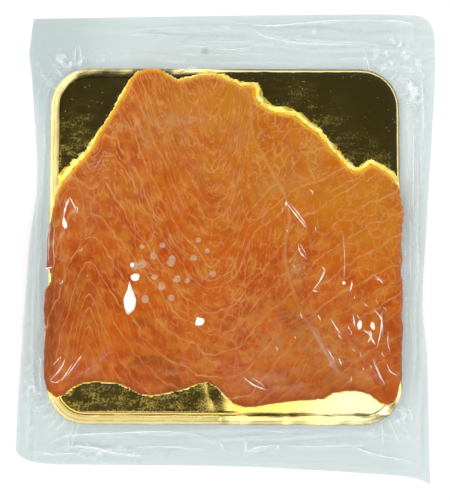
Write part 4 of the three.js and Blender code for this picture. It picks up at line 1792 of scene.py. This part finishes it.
@dataclass
class Marks:
    """Painted highlights on the film: white strips along sharp crease crests and small white domes, partly
    film turned white where it is creased.
    """

    lattice: Lattice
    pouch: Pouch
    finish: GlintFinish = field(default_factory=GlintFinish)
    steps: int = 28
    high: float = 0.22
    # small white domes, painted highlights on the film
    glint_patches: tuple[Blister, ...] = (
        Blister(-47.7, -28.0, 3.3, 8.6, 0.0, 1.0),
        Blister(-45.0, -17.5, 2.4, 2.0, 10.0),
        Blister(-46.6, -11.3, 1.1, 1.2),
        Blister(-12.5, -39.5, 2.7, 2.4, 35.0, 0.8),
        Blister(-81.2, 10.0, 1.2, 3.2, 12.0, 0.5),
        Blister(60.2, -20.0, 0.8, 0.9),
        Blister(68.0, -41.0, 1.3, 2.6, -8.0, 0.4, 0.9),
        Blister(74.5, -41.5, 1.2, 2.2, 12.0, 0.4, 0.9),
    )

    def build(self) -> None:
        """Builds every mark and joins them."""
        parts = [self.crest(k, crease) for k, crease in enumerate(self.pouch.sharp) if crease.sharp > 0]
        tops = self.pouch.tops + 0.03
        for k, blister in enumerate(self.glint_patches):
            parts.append(low_dome(f"patch_{k}", self.lattice, tops, blister, self.high))
        piece = joined("film_glint_crests", parts)
        places = positions(piece) / MM
        inside = self.lattice.at(self.pouch.fish.whole, places[:, 0] - MIDDLE[0], places[:, 1] - MIDDLE[1])
        store(piece, "over", ease(0.0, 1.5, inside))
        piece.data.materials.append(self.finish.material())
        shade_smooth(piece, 80.0)
        finish_piece(piece, "film")

    def crest(self, number: int, crease: Crease) -> Thing:
        """One crest as a low arched strip along its crease, white as a painted glint."""
        part = flat_grid(f"crest_{number}", self.steps, 4)
        flat = positions(part)
        share, side = (flat[:, 0] + 1) / 2, flat[:, 1]
        line = smooth_line(crease.line, 60)
        run = np.linspace(0.0, 1.0, len(line))
        ahead = np.gradient(line, axis=0)
        ahead /= np.hypot(*ahead.T)[:, None]
        x, y = np.interp(share, run, line[:, 0]), np.interp(share, run, line[:, 1])
        way_x, way_y = np.interp(share, run, ahead[:, 0]), np.interp(share, run, ahead[:, 1])
        waver = 0.75 + 0.25 * np.sin(share * 17.0 + number)
        half = crease.sharp * np.sin(np.pi * np.clip(share, 0.02, 0.98)) ** 0.6 * waver
        x, y = x - way_y * side * half, y + way_x * side * half
        arch = (1 - side**2) * self.high
        settle(part, x, y, self.lattice.at(self.pouch.tops, x, y) + 0.03 + arch)
        store(part, "pale", crease.pale * (1 - 0.7 * side**2) * (0.55 + 0.45 * np.sin(np.pi * share)))
        return part


@dataclass
class Air:
    """Small flat pockets under the film, over the fish."""

    lattice: Lattice
    fish: Fish
    finish: AirFinish = field(default_factory=AirFinish)
    pockets: tuple[tuple[float, float, float], ...] = (
        (-41.4, -10.8, 2.3), (-35.8, -6.7, 2.0), (-26.4, -8.2, 2.0), (-27.2, -10.2, 2.0),
        (-15.6, -7.6, 1.8), (-35.3, -17.4, 1.7), (-23.9, -18.4, 2.0), (-18.8, -19.2, 1.5),
        (-31.7, -22.0, 2.1), (-39.9, -28.5, 2.1), (-26.7, -27.8, 1.8), (-5.9, -15.6, 1.7),
        (-45.5, -11.6, 2.3), (-41.7, -2.0, 1.3), (-31.5, -1.3, 1.6), (-13.3, 1.5, 1.5), (-8.7, -4.0, 1.4),
    )
    lift: float = 0.15
    height: float = 0.02

    def build(self) -> None:
        """Builds one low dome for each pocket and joins them."""
        tops = self.fish.tops + self.lift
        shapes = [Blister(x, y, size, size * 1.12, 20.0 * k) for k, (x, y, size) in enumerate(self.pockets)]
        parts = [low_dome(f"pocket_{k}", self.lattice, tops, b, self.height) for k, b in enumerate(shapes)]
        piece = joined("air_pockets", parts)
        piece.data.materials.append(self.finish.material())
        shade_smooth(piece, 80.0)
        finish_piece(piece, "film")


# The studio
# ----------


@dataclass(frozen=True)
class Panel:
    """A bright panel of the studio, seen from the pack: direction, half sizes in degrees, strength."""

    across: float
    back: float
    up: float
    half_wide: float
    half_high: float
    strength: float


@dataclass
class Studio:
    """A pale floor, soft light from the sides and two bright panels, with a camera almost straight above."""

    floor_size: float = 6.0
    floor_depth: float = 0.0003
    camera_height: float = 617.0
    camera_front: float = 61.6
    lens: float = 87.07
    aim: Pair = (0.2, -3.0)
    roll: float = 0.2
    zenith: float = 0.05
    sides: float = 1.05
    peak: float = 2.3
    peak_back: float = 0.7
    peak_right: float = 1.0
    horizon: float = 1.1
    rise_middle: float = 39.0
    rise_lean: float = 21.0
    rise_half: float = 8.0
    peak_span: Pair = (34.0, 54.0)
    right_span: Pair = (56.0, 64.0)
    fall_span: Pair = (64.0, 80.0)
    least_flat: float = 0.0001
    panel_core: float = 0.25
    aim_height: float = 3.0
    sensor: float = 36.0
    near: float = 0.01
    panels: tuple[Panel, ...] = (
        Panel(0.06, -0.33, 0.94, 15.0, 6.5, 2.25),
        Panel(0.3, -0.46, 0.84, 4.0, 4.0, 9.0),
        Panel(-0.5, -0.12, 0.86, 4.0, 4.0, 9.0),
    )

    def build(self) -> None:
        """Builds the floor, the world and the camera."""
        self.floor()
        self.world()
        self.camera()
        bpy.context.scene.view_settings.view_transform = "Standard"

    def floor(self) -> None:
        """Adds the plain pale floor."""
        deselect_all()
        bpy.ops.mesh.primitive_plane_add(size=self.floor_size, location=(0.0, 0.0, -self.floor_depth))
        floor = bpy.context.object
        floor.name = "floor"
        material, desk, output = new_material("pale floor")
        shader = desk.principled({"Base Color": (0.92, 0.92, 0.92), "Roughness": 0.9})
        desk.feed(output.inputs["Surface"], shader)
        floor.data.materials.append(material)

    def world(self) -> None:
        """Lights the pack by direction: dark right above, bright at the sides, brightest in the panels."""
        world = bpy.data.worlds.new("studio")
        bpy.context.scene.world = world
        world.use_nodes = True
        world.node_tree.nodes.clear()
        desk = Desk(world.node_tree)
        way = desk.node("TexCoord").outputs["Generated"]
        parts = desk.node("SeparateXYZ", {0: way})
        across, back, up = parts.outputs
        tilt = desk.math("ARCCOSINE", desk.least(desk.most(up, -1.0), 1.0))
        flat = desk.math("SQRT", desk.plus(desk.times(across, across), desk.times(back, back)))
        flat = desk.most(flat, self.least_flat)
        to_back = desk.parted(back, flat)
        to_right = desk.most(desk.parted(across, flat), 0.0)
        lean = desk.parted(desk.times(desk.plus(across, back), math.sqrt(0.5)), flat)
        middle = desk.plus(desk.times(lean, math.radians(self.rise_lean)), math.radians(self.rise_middle))
        half = math.radians(self.rise_half)
        rise = desk.span(desk.less(tilt, middle), -half, half)

        def band(span: Pair, low: float, high: float) -> Socket:
            """A smooth step over a span of tilts, given in degrees."""
            return desk.span(tilt, math.radians(span[0]), math.radians(span[1]), low, high)

        peak = desk.plus(desk.times(to_back, self.peak_back), self.peak - self.sides)
        raised = desk.times(peak, band(self.peak_span, 0.0, 1.0))
        raised = desk.plus(raised, desk.times(to_right, band(self.right_span, 0.0, self.peak_right)))
        fall = band(self.fall_span, 1.0, 0.0)
        level = desk.plus(desk.times(desk.plus(raised, self.sides - self.horizon), fall), self.horizon)
        light = desk.most(desk.times(rise, level), self.zenith)
        for panel in self.panels:
            aim = Vector((panel.across, panel.back, panel.up)).normalized()
            right = Vector((0, 1, 0)).cross(aim).normalized()
            lit = desk.math("GREATER_THAN", up, 0.0)
            for axis, half in ((right, panel.half_wide), (aim.cross(right), panel.half_high)):
                turned = desk.node("VectorMath", {0: way, 1: tuple(axis)}, operation="DOT_PRODUCT")
                off = turned.outputs["Value"]
                reach = math.sin(math.radians(half))
                side = desk.span(desk.math("ABSOLUTE", off), reach * self.panel_core, reach, 1.0, 0.0)
                lit = desk.times(lit, side)
            light = desk.plus(light, desk.times(lit, panel.strength))
        background = desk.node("Background", {"Color": (1.0, 1.0, 1.0), "Strength": light})
        desk.feed(desk.node("OutputWorld").inputs["Surface"], background.outputs[0])

    def camera(self) -> None:
        """Places the camera almost straight above the card."""
        place = Vector((MIDDLE[0], MIDDLE[1] - self.camera_front, self.camera_height)) * MM
        aim = Vector((MIDDLE[0] + self.aim[0], MIDDLE[1] + self.aim[1], self.aim_height)) * MM
        deselect_all()
        away = (place - aim).normalized()
        up = Vector((math.sin(math.radians(-self.roll)), math.cos(math.radians(self.roll)), 0.0))
        right = up.cross(away).normalized()
        turn = Matrix((right, away.cross(right), away)).transposed().to_euler()
        bpy.ops.object.camera_add(location=place, rotation=turn)
        camera = bpy.context.object
        camera.data.lens = self.lens
        camera.data.sensor_width = self.sensor
        camera.data.clip_start = self.near
        bpy.context.scene.camera = camera


def write_sizes() -> None:
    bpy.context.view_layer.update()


def main() -> None:
    """Builds the studio and every piece of the pack, in order."""
    logging.basicConfig(level=logging.INFO, format="%(name)s: %(message)s")
    Studio().build()
    lattice = Lattice()
    card = Card(lattice)
    card.build()
    fish = Fish(lattice)
    fish.build()
    card.weather(list(fish.outlines.values()))
    Brine(lattice, card, fish).build()
    Air(lattice, fish).build()
    pouch = Pouch(lattice, card, fish)
    pouch.build()
    Marks(lattice, pouch).build()
    write_sizes()


if __name__ == "__main__":
    main()
